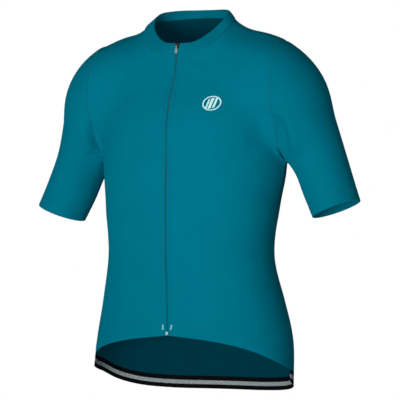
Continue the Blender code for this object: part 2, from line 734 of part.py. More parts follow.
# Pull tab: an eye on the pin, a neck between the ears, and a flat blade that hangs down the chest.
chest = on_front([0], [float(hinge[2]) - 0.0133])
lie = (chest + outward(chest) * 0.0020)[0] - hinge
lie[0] = 0
lie /= np.linalg.norm(lie)
lean = np.array([0, lie[2], -lie[1]])
if lean[1] > 0:
    lean = -lean
TAB_LEN, TAB_HALF, TAB_THICK, NECK_HALF = 0.0135, 0.00275, 0.0012, 0.0012
EYE_HALF = EAR_IN - GAP


def tab_mesh():
    """eye as a short tube, joined to the blade by booleans"""
    eye = turn_prism('zip_pull', hinge, lie, lean, circle(EYE_R, 16), -EYE_HALF, EYE_HALF, 'metal')
    half = TAB_THICK / 2
    neck = bm_box('tab_neck', hinge, lie, lean, -NECK_HALF, NECK_HALF, 0.0009, 0.0042, -half, half, 'metal')
    V, w = [], []
    outline = [(-NECK_HALF, 0.0036), (NECK_HALF, 0.0036), (TAB_HALF, 0.0052), (TAB_HALF, TAB_LEN - 0.0022),
               (TAB_HALF * 0.72, TAB_LEN - 0.0006), (TAB_HALF * 0.35, TAB_LEN), (-TAB_HALF * 0.35, TAB_LEN),
               (-TAB_HALF * 0.72, TAB_LEN - 0.0006), (-TAB_HALF, TAB_LEN - 0.0022), (-TAB_HALF, 0.0052)]
    k = len(outline)
    V = [hinge + np.array([x, 0, 0]) + lie * y + lean * z for z in (-half, half) for x, y in outline]
    F = [(j, (j + 1) % k, k + (j + 1) % k, k + j) for j in range(k)] + [tuple(range(k))[::-1], tuple(range(k, 2 * k))]
    blade = make('tab_blade', V, F, 'metal', smooth=False)
    bore = turn_prism('tab_bore', hinge, lie, lean, circle(BORE_R, 16), -EYE_HALF - 0.001, EYE_HALF + 0.001, 'metal')
    boolean(eye, neck, 'UNION')
    boolean(eye, blade, 'UNION')
    boolean(eye, bore, 'DIFFERENCE')
    return eye


tab = tab_mesh()
# its origin sits on the pin
c = Vector(hinge)
for v in tab.data.vertices:
    v.co -= c
tab.location = c


# ------------------------------------------------------------------ marks and badge, on the front panels
def patch(name, rings, centre, thick, lift, mat):
    """a thin plate over the form from rings of (x, z) round a centre point"""
    V = [on_front([centre[0]], [centre[1]])[0]]
    k = len(rings[0])
    for ring in rings:
        V += [*on_front([p[0] for p in ring], [p[1] for p in ring])]
    V = np.array(V)
    N = outward(V)
    F = [(0, 1 + j, 1 + (j + 1) % k) for j in range(k)]
    for r in range(len(rings) - 1):
        a, b = 1 + r * k, 1 + (r + 1) * k
        F += [(a + j, b + j, b + (j + 1) % k, a + (j + 1) % k) for j in range(k)]
    p, q, t = (V[i] for i in F[0])
    if np.cross(q - p, t - p) @ N[0] < 0:
        F = [f[::-1] for f in F]
    return wall(name, V, F, N, thick, mat, out=lift + thick)


BADGE_X, BADGE_Z, BADGE_A, BADGE_B = 0.0830, -0.1525, 0.0160, 0.0136
rings = [[(BADGE_X + BADGE_A * f * cos(t), BADGE_Z + BADGE_B * f * sin(t)) for t in np.linspace(0, 2 * pi, 25)[:-1]]
         for f in (0.35, 0.7, 1.0)]
patch('chest_badge', rings, (BADGE_X, BADGE_Z), 0.0006, 0.0005, 'print')

for s, name, slant in ((1, 'zip_mark_left', 0.0012), (-1, 'zip_mark_right', 0.0)):
    cx, cz, w, h = s * 0.0085, -0.5665, 0.0016, 0.0050
    def quad(f):
        return [(cx + w * f * a + slant * f * b, cz + h * f * b) for a, b in
                ((-1, -1), (0, -1), (1, -1), (1, 0), (1, 1), (0, 1), (-1, 1), (-1, 0))]
    patch(name, [quad(0.5), quad(1.0)], (cx, cz), 0.0006, 0.0004, 'reflective')
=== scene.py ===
# Looks of the short-sleeve cycling jersey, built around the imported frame.
# Metres, +Z up. The front faces -Y and the wearer's left is +X.
import bpy
import numpy as np
from math import radians, sin, cos, pi, tan
from mathutils import Vector, Matrix


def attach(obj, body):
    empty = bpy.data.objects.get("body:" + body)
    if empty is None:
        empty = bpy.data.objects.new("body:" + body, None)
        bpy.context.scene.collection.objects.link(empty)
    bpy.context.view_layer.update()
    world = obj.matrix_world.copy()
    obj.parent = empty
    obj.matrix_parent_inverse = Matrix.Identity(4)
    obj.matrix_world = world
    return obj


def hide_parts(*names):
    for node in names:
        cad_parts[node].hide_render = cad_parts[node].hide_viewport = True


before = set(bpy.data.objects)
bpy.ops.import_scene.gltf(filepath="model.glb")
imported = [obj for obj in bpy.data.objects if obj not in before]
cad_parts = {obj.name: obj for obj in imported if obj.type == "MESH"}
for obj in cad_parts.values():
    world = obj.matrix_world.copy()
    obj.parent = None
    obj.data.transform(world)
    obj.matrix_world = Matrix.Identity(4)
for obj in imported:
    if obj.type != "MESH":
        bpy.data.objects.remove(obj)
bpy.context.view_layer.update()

BODY_NAME = "jersey"
CLOTH = 0.0010         # thickness that shows at an edge
RIB = 0.0017           # collar, two layers
GAP = 0.0003

# Body of the garment, level by level.
BODY = [
    # height  half    front  back   centre  square-
    #         width   depth  depth  y       ness
    (-0.760, 0.198, 0.104, 0.124, -0.004, 2.3),
    (-0.660, 0.197, 0.106, 0.123, -0.004, 2.3),
    (-0.600, 0.192, 0.107, 0.120, -0.002, 2.3),
    (-0.519, 0.1765, 0.108, 0.114, -0.002, 2.3),
    (-0.436, 0.162, 0.107, 0.104, -0.008, 2.3),
    (-0.331, 0.1715, 0.114, 0.117, -0.002, 2.3),
    (-0.260, 0.184, 0.116, 0.125, 0.003, 2.3),
    (-0.194, 0.180, 0.1135, 0.125, 0.002, 2.3),
    (-0.140, 0.162, 0.101, 0.114, 0.004, 2.2),
    (-0.100, 0.134, 0.083, 0.095, 0.004, 2.1),
    (-0.060, 0.098, 0.068, 0.074, 0.000, 2.0),
    (-0.025, 0.077, 0.058, 0.066, -0.003, 2.0),
    (0.000, 0.072, 0.056, 0.064, -0.004, 2.0),
    (0.060, 0.071, 0.054, 0.064, -0.008, 2.0),
]
# Shoulder and sleeve: centre line and radius, neck to below the cuff.
ARM = [
    # x       y      z        radius
    (0.050, 0.006, -0.050, 0.052),
    (0.100, 0.010, -0.070, 0.058),
    (0.150, 0.008, -0.0920, 0.0685),
    (0.190, 0.011, -0.136, 0.0730),
    (0.217, 0.020, -0.195, 0.0620),
    (0.2475, 0.026, -0.255, 0.0495),
    (0.272, 0.020, -0.315, 0.0470),
    (0.307, 0.010, -0.395, 0.0450),
]
ARM_DEEP = 1.08        # sleeve sections are this much deeper, front to back
ARM_STEPS = 60
ARM_LIFT = {1: 0.002, -1: -0.002}   # how much higher each cuff is carried, by side
BLEND_TOP = 0.052      # softness of the join over the shoulder
BLEND_PIT = 0.012      # and under the arm

# Neckline: height by angle round the neck, 0 at the front, 180 at the back.
NECK = [
    # angle height
    (0, -0.0580), (20, -0.0575), (36, -0.0525), (50, -0.0415), (64, -0.022), (80, -0.003), (97, 0.006),
    (120, 0.010), (150, 0.013), (180, 0.014),
]
NECK_Y = -0.004
NECK_SIDE = 97.0       # angle at which the shoulder seam meets the neckline
# Top edge of the collar.
RIM_HALF, RIM_FRONT, RIM_BACK, RIM_Y = 0.0735, 0.0575, 0.060, -0.006
RIM = [
    # angle height
    (0, -0.0395), (25, -0.0355), (50, -0.018), (75, 0.004), (100, 0.020), (130, 0.027), (180, 0.029),
]
COLLAR_BOW = 0.0012

# Hems: height by share of the way from the centre line to the side seam.
HEM_FRONT = {1: [
    # share height
    (0.0, -0.5815), (0.10, -0.585), (0.25, -0.5905), (0.5, -0.604), (0.75, -0.622), (1.0, -0.637),
], -1: [
    (0.0, -0.5815), (0.13, -0.585), (0.32, -0.5903), (0.65, -0.6030), (0.85, -0.6135), (1.0, -0.6215),
]}
HEM_BACK = {1: [
    (0.0, -0.668), (0.3, -0.6675), (0.55, -0.663), (0.8, -0.652), (1.0, -0.637),
], -1: [
    (0.0, -0.668), (0.24, -0.6673), (0.44, -0.6618), (0.64, -0.6484), (0.80, -0.6325), (0.92, -0.6245), (1.0, -0.6215),
]}
SIDE_Z = {1: -0.6455, -1: -0.6215}  # where each side seam ends
SIDE_Y = 0.010
SIDE_SWING = {1: 0.0, -1: -0.052}   # how far each side seam swings forward on its way down to the hem
SIDE_TOP = -0.268
BAND = 0.0235          # width of the elastic band on the back hem

# Armhole: the seam's x by angle from the shoulder point (0) to the armpit (180).
HOLE = [
    # angle x
    (0, 0.1860), (45, 0.1885), (90, 0.1900), (135, 0.1900), (180, 0.1885),
]
HOLE_Y, HOLE_Z = 0.012, -0.140
CUFF_AT = {1: 0.889, -1: 0.897}     # share of the way down ARM
CUFF_TILT = 0.39                    # the cuff's plane rises outwards by this slope

ZIP_HALF = 0.0019      # half of the slit that shows the zip
TAPE = 0.0008

# ------------------------------------------------------------------ curves and the garment's form
def hermite(T, V, t):
    T = np.asarray(T, float)
    V = np.asarray(V, float)
    o = np.argsort(T)
    T, V = T[o], V[o]
    m = np.gradient(V, T, axis=0)
    t = np.clip(np.asarray(t, float), T[0], T[-1])
    i = np.clip(np.searchsorted(T, t, side='right') - 1, 0, len(T) - 2)
    h = T[i + 1] - T[i]
    s = (t - T[i]) / h
    if V.ndim > 1:
        s, h = s[..., None], h[..., None]
    return ((2 * s**3 - 3 * s**2 + 1) * V[i] + (s**3 - 2 * s**2 + s) * h * m[i]
            + (-2 * s**3 + 3 * s**2) * V[i + 1] + (s**3 - s**2) * h * m[i + 1])


def table(rows, t, col=1):
    T = np.array(rows, float)
    return hermite(T[:, 0], T[:, col], t)


_B = np.array(BODY)
_A = np.array(ARM)
_run = np.concatenate([[0], np.cumsum(np.linalg.norm(np.diff(_A[:, :3], axis=0), axis=1))])
_u = np.linspace(0, 1, ARM_STEPS)
CHAIN = {}
for _s in (1, -1):
    _c = hermite(_run, _A, _u * _run[-1])
    _c[:, 0] *= _s
    _c[:, 2] += ARM_LIFT[_s] * np.clip((_u - 0.3) / 0.7, 0, 1)
    CHAIN[_s] = _c


def body_raw(p):
    a, bf, bb, yc, n = hermite(_B[:, 0], _B[:, 1:], p[:, 2]).T
    x, y = np.abs(p[:, 0]), p[:, 1] - yc
    b = np.where(y < 0, bf, bb)
    rho = ((x / a) ** n + (np.abs(y) / b) ** n) ** (1 / n)
    return np.hypot(x, y) * (1 - 1 / np.maximum(rho, 1e-6))


def slope(f, p, e=5e-4):
    g = np.empty_like(p)
    for k in range(3):
        d = np.zeros(3)
        d[k] = e
        g[:, k] = (f(p + d) - f(p - d)) / (2 * e)
    return g


def body_dist(p):
    return body_raw(p) / np.maximum(np.linalg.norm(slope(body_raw, p), axis=1), 0.6)


def arm_dist(p):
    best = np.full(len(p), 1e3)
    for s in (1, -1):
        m = p[:, 0] * s > -0.01
        q = p[m]
        b = np.full(len(q), 1e3)
        for c in CHAIN[s]:
            d = np.sqrt((q[:, 0] - c[0])**2 + ((q[:, 1] - c[1]) / ARM_DEEP)**2 + (q[:, 2] - c[2])**2) - c[3]
            np.minimum(b, d, out=b)
        best[m] = np.minimum(best[m], b)
    return best


def form(p):
    """how far p is outside (+) or inside (-) the garment's outer surface"""
    a, b = body_dist(p), arm_dist(p)
    w = np.clip((p[:, 2] + 0.215) / 0.09, 0, 1)
    k = BLEND_PIT + (BLEND_TOP - BLEND_PIT) * w * w * (3 - 2 * w)
    h = np.clip(0.5 + 0.5 * (b - a) / k, 0, 1)
    return b * (1 - h) + a * h - k * h * (1 - h)


def outward(p):
    q = np.asarray(p, float).reshape(-1, 3)
    g = slope(form, q, 1e-3)
    return (g / np.linalg.norm(g, axis=1)[:, None]).reshape(np.shape(p))


def onto(p, steps=6):
    """the nearest points of the form"""
    shape = np.shape(p)
    q = np.array(p, float).reshape(-1, 3)
    for _ in range(steps):
        g = slope(form, q)
        d = (form(q) / np.maximum((g * g).sum(1), 0.2))[:, None] * g
        n = np.linalg.norm(d, axis=1)[:, None]
        q = q - d * np.minimum(1, 0.03 / np.maximum(n, 1e-9))
    return q.reshape(shape)


def leave(origin, direction, far=0.3, n=70, f=form):
    """where rays from inside the form first leave it"""
    direction = np.atleast_2d(direction)
    o = np.broadcast_to(np.asarray(origin, float), direction.shape)
    r = np.linspace(0.002, far, n)
    v = f((o[:, None] + direction[:, None] * r[None, :, None]).reshape(-1, 3)).reshape(len(o), n)
    k = np.maximum(np.argmax(v > 0, axis=1), 1)
    lo, hi = r[k - 1], r[k]
    for _ in range(24):
        mid = (lo + hi) / 2
        w = f(o + direction * mid[:, None])
        hi = np.where(w > 0, mid, hi)
        lo = np.where(w > 0, lo, mid)
    return o + direction * ((lo + hi) / 2)[:, None]


def steps_along(P, shares):
    """points along a polyline at shares of its length"""
    P = np.asarray(P, float)
    L = np.concatenate([[0], np.cumsum(np.linalg.norm(np.diff(P, axis=0), axis=1))])
    t = np.asarray(shares, float) * L[-1]
    return np.stack([np.interp(t, L, P[:, k]) for k in range(3)], 1)


def even(P, n):
    return steps_along(P, np.linspace(0, 1, n + 1))


# ------------------------------------------------------------------ seam lines, s = 1 wearer's left, -1 right
def neckline(s, back):
    """centre line to shoulder seam"""
    a = np.linspace(180 if back else 1.7, NECK_SIDE, 40)
    z = table(NECK, a)
    r = np.radians(a)
    d = np.stack([s * np.sin(r), -np.cos(r), 0 * r], 1)
    return leave(np.stack([0 * a, 0 * a + NECK_Y, z], 1), d, 0.2)


def centre_line(s, back):
    """hem to neckline"""
    top = neckline(s, back)[0]
    z = np.linspace((HEM_BACK if back else HEM_FRONT)[s][0][1], top[2], 60)
    x = 0 * z if back else 0 * z + s * ZIP_HALF
    P = leave(np.stack([x, 0 * z, z], 1), np.tile([0, 1.0 if back else -1.0, 0], (60, 1)), 0.2)
    P[-1] = top
    return P


def hem(s, back, n=40):
    """centre line to side seam"""
    rows = (HEM_BACK if back else HEM_FRONT)[s]
    u = np.linspace(0, 1, n)
    z = table(rows, u) + (SIDE_Z[s] - rows[-1][1]) * u**3
    a, bf, bb, yc, m = hermite(_B[:, 0], _B[:, 1:], z).T
    y = SIDE_Y + SIDE_SWING[s] - yc
    end = np.sign(y) * np.arcsin(np.clip(np.abs(y) / np.where(y > 0, bb, bf), 0, 1) ** (m / 2))
    th = (pi / 2 + (end - pi / 2) * u) if back else (-pi / 2 + (end + pi / 2) * u)
    b = np.where(th > 0, bb, bf)
    P = np.stack([s * a * np.abs(np.cos(th)) ** (2 / m),
                  yc + b * np.sign(th) * np.abs(np.sin(th)) ** (2 / m), z], 1)
    if not back:
        P[0, 0] = s * ZIP_HALF
    return onto(P)


def hole(s, back, n=60):
    """armpit to shoulder point"""
    a = np.linspace(180, 0, n)
    x = table(HOLE, a) * s
    r = np.radians(a)
    d = np.stack([0 * r, np.sin(r) * (1 if back else -1), np.cos(r)], 1)
    return leave(np.stack([x, 0 * x + HOLE_Y, 0 * x + HOLE_Z], 1), d, 0.2)


def side_seam(s):
    """hem to armpit"""
    z = np.linspace(SIDE_Z[s], SIDE_TOP, 50)
    y = SIDE_Y + SIDE_SWING[s] * ((z - SIDE_TOP) / (SIDE_Z[s] - SIDE_TOP)) ** 3
    P = leave(np.stack([0 * z, y, z], 1), np.tile([float(s), 0, 0], (50, 1)), 0.3)
    P[0] = hem(s, False)[-1]
    return np.vstack([P, hole(s, False)[:1]])


def shoulder_seam(s, n=40):
    """neckline to shoulder point, along the top of the shoulder"""
    a, b = neckline(s, False)[-1], hole(s, False)[-1]
    t = np.linspace(0, 1, n)[:, None]
    return onto(a + (b - a) * t)


# ------------------------------------------------------------------ fine grids on the same form
COLLAR_ROWS = 12
K = 7                                     # how much finer than the frame's own grid
SIDE_N, HOLE_N = 13 * K, 9 * K            # rows on the side seam and on the armhole
NECK_N = {False: 6 * K, True: 3 * K}      # rows of those that end on the neckline, front and back
EDGE = [0.0, 0.004, 0.012, 0.024]
COLS = np.concatenate([EDGE, np.linspace(0.024, 0.976, 52)[1:-1], 1 - np.array(EDGE)[::-1]])


def unit(v):
    return v / np.maximum(np.linalg.norm(v, axis=-1, keepdims=True), 1e-12)


def half_panel(s, back):
    """grid [row, column]: rows from the hem up, columns from the centre line out to the side"""
    neck, rows = NECK_N[back], SIDE_N + HOLE_N
    left = np.vstack([even(centre_line(s, back), rows - neck), even(neckline(s, back), neck)[1:]])
    right = np.vstack([even(side_seam(s), SIDE_N), even(hole(s, back), HOLE_N)[1:]])
    left[0], right[0] = hem(s, back)[0], hem(s, back)[-1]
    n = 60
    low, top = even(hem(s, back), n), even(shoulder_seam(s), n)
    u = np.linspace(0, 1, n + 1)[None, :, None]
    v = np.linspace(0, 1, rows + 1)[:, None, None]
    P = ((1 - u) * left[:, None] + u * right[:, None] + (1 - v) * low[None] + v * top[None]
         - (1 - u) * (1 - v) * left[0] - u * (1 - v) * right[0] - (1 - u) * v * left[-1] - u * v * right[-1])
    P[1:-1, 1:-1] = onto(P[1:-1, 1:-1], 7)
    G = onto(np.stack([steps_along(row, COLS) for row in P]), 2)
    G[:, 0], G[:, -1] = left, right
    G[0] = steps_along(hem(s, back), COLS)
    G[-1] = steps_along(shoulder_seam(s), COLS)
    return G


def ring_points(s, n):
    f, b = even(hole(s, False), n), even(hole(s, True), n)
    return np.vstack([f, b[::-1][1:-1]])


def cuff_points(s, n):
    u = np.linspace(0, 1, ARM_STEPS)
    c = np.array([np.interp(CUFF_AT[s], u, CHAIN[s][:, k]) for k in range(3)])
    m = unit(np.array([s * CUFF_TILT, 0.0, -1.0]))
    inn = np.array([-s, 0, 0.0])
    inn = unit(inn - m * (inn @ m))
    a = np.linspace(0, 2 * pi, 2 * n + 1)[:-1]
    d = np.cos(a)[:, None] * inn + np.sin(a)[:, None] * np.array([0, -1.0, 0])
    return leave(np.tile(c, (len(a), 1)), d, 0.09, 60, arm_dist)


def sleeve(s):
    """grid [ring, point round the arm], first coarse and relaxed, then fine"""
    A, C = ring_points(s, 9), cuff_points(s, 9)
    v = np.linspace(0, 1, 9)[:, None, None]
    G = A[None] * (1 - v) + C[None] * v
    for k in range(4):
        G[1:-1] = onto(G[1:-1], 5)
        side = (np.roll(G[1:-1], 1, 1) + np.roll(G[1:-1], -1, 1)) / 2
        along = (G[:-2] + G[2:]) / 2
        G[1:-1] += 0.5 * ((side + along) / 2 - G[1:-1])
    G[1:-1] = onto(G[1:-1], 6)
    n = G.shape[1]
    pad = np.concatenate([G[:, -3:], G, G[:, :3]], 1)
    t = np.arange(n * K) / K
    W = hermite(np.arange(-3, n + 3), pad.transpose(1, 0, 2).reshape(n + 6, -1), t)
    W = W.reshape(n * K, 9, 3).transpose(1, 0, 2)
    r = np.concatenate([[0, 0.012, 0.036], np.linspace(0.08, 1 - 0.08, 56), [0.964, 0.988, 1.0]]) * 8
    W = hermite(np.arange(9), W.reshape(9, -1), r).reshape(len(r), n * K, 3)
    W[0], W[-1] = ring_points(s, HOLE_N), cuff_points(s, HOLE_N)
    # keep the exact ends and lay the rings between them onto the form
    W[1:-1] = onto(W[1:-1], 5)
    return W


def rim(s, angles):
    r = np.radians(angles)
    z = table(RIM, angles)
    b = np.where(np.cos(r) > 0, RIM_FRONT, RIM_BACK)
    return np.stack([s * RIM_HALF * np.sin(r), RIM_Y - b * np.cos(r), z], 1)


def collar():
    """grid [row up, point round], from the wearer's right of the zip round the back to the left"""
    def half(s):
        low = np.vstack([even(neckline(s, False), NECK_N[False]),
                         even(neckline(s, True), NECK_N[True])[::-1][1:]])
        a = np.degrees(np.arctan2(s * low[:, 0], -(low[:, 1] - NECK_Y)))
        a[-1] = 180
        top = rim(s, a)
        top[0, 0] = s * ZIP_HALF
        return low, top
    (l1, t1), (l2, t2) = half(-1), half(1)
    low = np.vstack([l1, l2[::-1][1:]])
    top = np.vstack([t1, t2[::-1][1:]])
    v = np.linspace(0, 1, COLLAR_ROWS + 1)[:, None, None]
    G = low[None] * (1 - v) + top[None] * v
    out = G - np.array([0, NECK_Y, 0])
    out[..., 2] = 0
    out = unit(out)
    G += out * COLLAR_BOW * (4 * v * (1 - v))
    G[:, 0, 0], G[:, -1, 0] = -ZIP_HALF, ZIP_HALF
    return G


def grid_faces(rows, cols, wrap=False):
    i, j = np.meshgrid(np.arange(rows - 1), np.arange(cols if wrap else cols - 1), indexing='ij')
    k = (j + 1) % cols
    return np.stack([i * cols + j, i * cols + k, (i + 1) * cols + k, (i + 1) * cols + j], -1).reshape(-1, 4)


def facing(V, F, N):
    f = F[len(F) // 2]
    a, b, c, d = (V[k] for k in f)
    return F if np.cross(c - a, d - b) @ N[f[0]] > 0 else F[:, ::-1]


# ------------------------------------------------------------------ creases, placed one by one
def on_side(x, z, back=False):
    """points of the form at given x and z, on its front or back"""
    x, z = np.broadcast_arrays(np.atleast_1d(x).astype(float), np.atleast_1d(z).astype(float))
    d = np.tile([0, 1.0 if back else -1.0, 0], (len(x), 1))
    return leave(np.stack([x, 0 * x + 0.010, z], 1), d, 0.2)


CREASES = [
    # side     x0      z0      x1      z1      x2      z2     width   depth   (start, middle, end, seen from the front)
    # where each sleeve meets the chest and the side
    ('front', -0.190, -0.178, -0.186, -0.216, -0.177, -0.262, 0.0120, 0.0070),
    ('front', 0.197, -0.176, 0.203, -0.206, 0.208, -0.256, 0.0120, 0.0085),
    # soft pulls that run from the armpit across the chest
    ('front', 0.182, -0.216, 0.150, -0.240, 0.112, -0.252, 0.0160, 0.0016),
    ('front', 0.184, -0.250, 0.158, -0.282, 0.126, -0.300, 0.0150, 0.0012),
    ('front', -0.178, -0.232, -0.148, -0.254, -0.116, -0.262, 0.0150, 0.0012),
    # waist and hip, front
    ('front', -0.150, -0.430, -0.112, -0.444, -0.070, -0.438, 0.0160, 0.0010),
    ('front', 0.152, -0.452, 0.118, -0.468, 0.078, -0.470, 0.0150, 0.0011),
    ('front', 0.160, -0.560, 0.128, -0.572, 0.086, -0.566, 0.0150, 0.0008),
    # sleeves, front
    ('front', 0.226, -0.236, 0.246, -0.250, 0.266, -0.252, 0.0120, 0.0012),
    ('front', -0.206, -0.216, -0.230, -0.234, -0.254, -0.238, 0.0110, 0.0013),
    ('front', 0.236, -0.292, 0.258, -0.300, 0.282, -0.296, 0.0120, 0.0009),
    # back: armpits
    ('back', -0.176, -0.205, -0.190, -0.236, -0.192, -0.272, 0.0090, 0.0052),
    ('back', 0.178, -0.198, 0.192, -0.232, 0.196, -0.270, 0.0090, 0.0056),
    ('back', 0.172, -0.218, 0.136, -0.236, 0.088, -0.240, 0.0170, 0.0020),
    ('back', 0.176, -0.250, 0.146, -0.276, 0.108, -0.284, 0.0150, 0.0014),
    ('back', -0.172, -0.222, -0.140, -0.244, -0.100, -0.250, 0.0170, 0.0018),
    ('back', -0.172, -0.262, -0.142, -0.290, -0.112, -0.296, 0.0140, 0.0012),
    # back: small of the back, over the pocket's top edge
    ('back', -0.128, -0.388, -0.062, -0.408, 0.008, -0.402, 0.0150, 0.0019),
    ('back', 0.138, -0.372, 0.084, -0.396, 0.022, -0.392, 0.0140, 0.0016),
    ('back', -0.146, -0.420, -0.104, -0.436, -0.058, -0.434, 0.0130, 0.0013),
    ('back', 0.142, -0.414, 0.104, -0.428, 0.050, -0.424, 0.0130, 0.0015),
    ('back', -0.060, -0.140, -0.020, -0.158, 0.046, -0.152, 0.0180, 0.0011),
    # sleeves, back
    ('back', 0.214, -0.216, 0.240, -0.232, 0.266, -0.236, 0.0110, 0.0016),
    ('back', -0.210, -0.220, -0.236, -0.238, -0.262, -0.242, 0.0110, 0.0015),
    ('back', 0.240, -0.296, 0.262, -0.306, 0.284, -0.304, 0.0110, 0.0010),
    ('back', -0.238, -0.286, -0.260, -0.298, -0.286, -0.300, 0.0110, 0.0011),
]
_lines = []
for side, x0, z0, x1, z1, x2, z2, wide, deep in CREASES:
    t = np.linspace(0, 1, 28)
    # a quadratic through the three points
    x = x0 * (1 - t) * (1 - 2 * t) + x1 * 4 * t * (1 - t) + x2 * t * (2 * t - 1)
    z = z0 * (1 - t) * (1 - 2 * t) + z1 * 4 * t * (1 - t) + z2 * t * (2 * t - 1)
    P = on_side(x, z, side == 'back')
    _lines.append((P, outward(P), wide, deep, np.sin(pi * np.clip(t, 0.02, 0.98)) ** 0.8))


SWELLS = [
    # where the cloth sits a little fuller or flatter than the smooth form
    # x        y       z      reach   rise
    (-0.168, 0.008, -0.030, 0.048, -0.0046),
    (0.182, 0.035, -0.575, 0.075, 0.0055),
    (0.300, 0.010, -0.280, 0.070, 0.0018),
    (0.235, 0.015, -0.100, 0.050, 0.0012),
    (0.115, 0.006, -0.010, 0.030, 0.0020),
    (0.186, 0.030, -0.290, 0.045, 0.0026),
    (-0.215, 0.020, -0.335, 0.045, 0.0026),
    (-0.205, -0.036, -0.250, 0.024, -0.0040),
    (0.180, -0.066, -0.215, 0.034, -0.0060),
    (0.226, -0.040, -0.225, 0.026, 0.0040),
]


def creases(P, N):
    """how far the cloth stands out of the form (+) or dips into it (-)"""
    q, m = P.reshape(-1, 3), N.reshape(-1, 3)
    d = np.zeros(len(q))
    for L, M, wide, deep, fade in _lines:
        near = np.where((np.abs(q - L.mean(0)).max(1) < 0.13))[0]
        if not len(near):
            continue
        a = q[near]
        r = np.linalg.norm(a[:, None] - L[None], axis=2)
        k = r.argmin(1)
        rr = r[np.arange(len(a)), k] / wide
        face = np.clip((m[near] * M[k]).sum(1) * 1.6 - 0.1, 0, 1)
        d[near] += deep * fade[k] * face * (-np.exp(-rr**2) + 0.55 * np.exp(-((rr - 1.75) / 0.85)**2))
    for x, y, z, reach, rise in SWELLS:
        d += rise * np.exp(-((q - np.array([x, y, z]))**2).sum(1) / reach**2)
    # a slight unevenness of the whole cloth
    x, y, z = q.T
    d += 0.00030 * (np.sin(31 * x + 17 * z + 0.7) * np.sin(23 * z - 9 * y + 1.9) + 0.6 * np.sin(47 * z + 29 * x * (1 + y) + 0.3)
                    * np.sin(37 * x - 21 * y + 2.2))
    return d.reshape(P.shape[:-1])


# ------------------------------------------------------------------ meshes
def new_object(name, V, F, mat, uv=None, seam_shade=None, smooth=True, angle=40, inside=None):
    me = bpy.data.meshes.new(name)
    me.from_pydata(np.asarray(V, float).tolist(), [], [list(map(int, f)) for f in F])
    me.update()
    if uv is not None:
        loops = np.zeros(len(me.loops), np.int32)
        me.loops.foreach_get('vertex_index', loops)
        data = np.asarray(uv, float)[loops]
        layer = me.uv_layers.new(name='cut')
        size = np.zeros(len(me.polygons), np.int32)
        me.polygons.foreach_get('loop_total', size)
        start = np.zeros(len(me.polygons), np.int32)
        me.polygons.foreach_get('loop_start', start)
        quads = np.where(size == 4)[0]
        idx = start[quads][:, None] + np.arange(4)
        u = data[idx, 0]
        span = u.max(1) - u.min(1)
        turn = span > 0.15            # a face across the join of a tube
        full = np.ptp(np.asarray(uv)[:, 0])
        low = u < (u.max(1) + u.min(1))[:, None] / 2
        u = np.where(turn[:, None] & low, u + full * (1 + 1.0 / 126), u)
        data[idx, 0] = u
        layer.data.foreach_set('uv', data.astype(np.float32).ravel())
    # per-point strength of the painted seam shade
    if seam_shade is not None:
        at = me.attributes.new('seam_shade', 'FLOAT', 'POINT')
        at.data.foreach_set('value', np.asarray(seam_shade, np.float32))
    me.materials.append(mat)
    # the inner faces take the second material, a darker knit painted with shade
    if inside is not None:
        me.materials.append(inside[0])
        slots = np.zeros(len(me.polygons), np.int32)
        slots[inside[1]] = 1
        me.polygons.foreach_set('material_index', slots)
    ob = bpy.data.objects.new(name, me)
    bpy.context.scene.collection.objects.link(ob)
    if smooth:
        me.shade_smooth()
        me.set_sharp_from_angle(angle=radians(angle))
    return ob


def shell(name, V, N, F, thick, mat, disp=None, uv=None, seam_shade=None, free=None, angle=55, inner_shade_mat=None):
    """a thin closed wall; edges marked free are rounded"""
    V, N = np.asarray(V, float), np.asarray(N, float)
    n = len(V)
    disp = np.zeros(n) if disp is None else np.asarray(disp, float).ravel()
    F = np.asarray(F)
    A = F.ravel()
    B = np.roll(F, -1, axis=1).ravel()
    key = set(zip(A.tolist(), B.tolist()))
    owner = np.repeat(np.arange(len(F)), 4)
    border = [(int(a), int(b), int(o)) for a, b, o in zip(A, B, owner) if (b, a) not in key and a != b]
    E = np.zeros_like(V)
    for a, b, o in border:
        e = np.cross(V[b] - V[a], N[a])
        e = e / max(np.linalg.norm(e), 1e-12)
        if e @ (V[F[o]].mean(0) - V[a]) > 0:
            e = -e
        E[a] += e
        E[b] += e
    ids = sorted({k for a, b, o in border for k in (a, b)})
    at = {k: 2 * n + i for i, k in enumerate(ids)}
    E = unit(E)
    push = np.array([(0.42 * thick if (free is None or free[k]) else 0.0) for k in ids])
    outer, inner = V + N * disp[:, None], V + N * (disp - thick)[:, None]
    mid = V[ids] + N[ids] * (disp[ids] - thick / 2)[:, None] + E[ids] * push[:, None]
    faces = F.tolist() + (F[:, ::-1] + n).tolist()
    for a, b, o in border:
        faces.append([b, a, at[a], at[b]])
        faces.append([at[b], at[a], a + n, b + n])
    VV = np.vstack([outer, inner, mid])
    take = np.concatenate([np.arange(n), np.arange(n), ids]).astype(int)
    return new_object(name, VV, faces, mat, None if uv is None else np.asarray(uv)[take],
                      None if seam_shade is None else np.asarray(seam_shade)[take], angle=angle,
                      inside=None if inner_shade_mat is None else (inner_shade_mat, slice(len(F), 2 * len(F))))


def lengths(G, axis, wrap=False):
    """distance along a grid's rows or columns, in metres"""
    d = np.linalg.norm(np.diff(G, axis=axis), axis=-1)
    pad = [(0, 0), (0, 0)]
    pad[axis] = (1, 0)
    return np.cumsum(np.pad(d, pad), axis=axis)


# ------------------------------------------------------------------ materials
def nodes_of(name):
    m = bpy.data.materials.new(name)
    m.use_nodes = True
    t = m.node_tree
    return m, t, t.nodes['Principled BSDF']


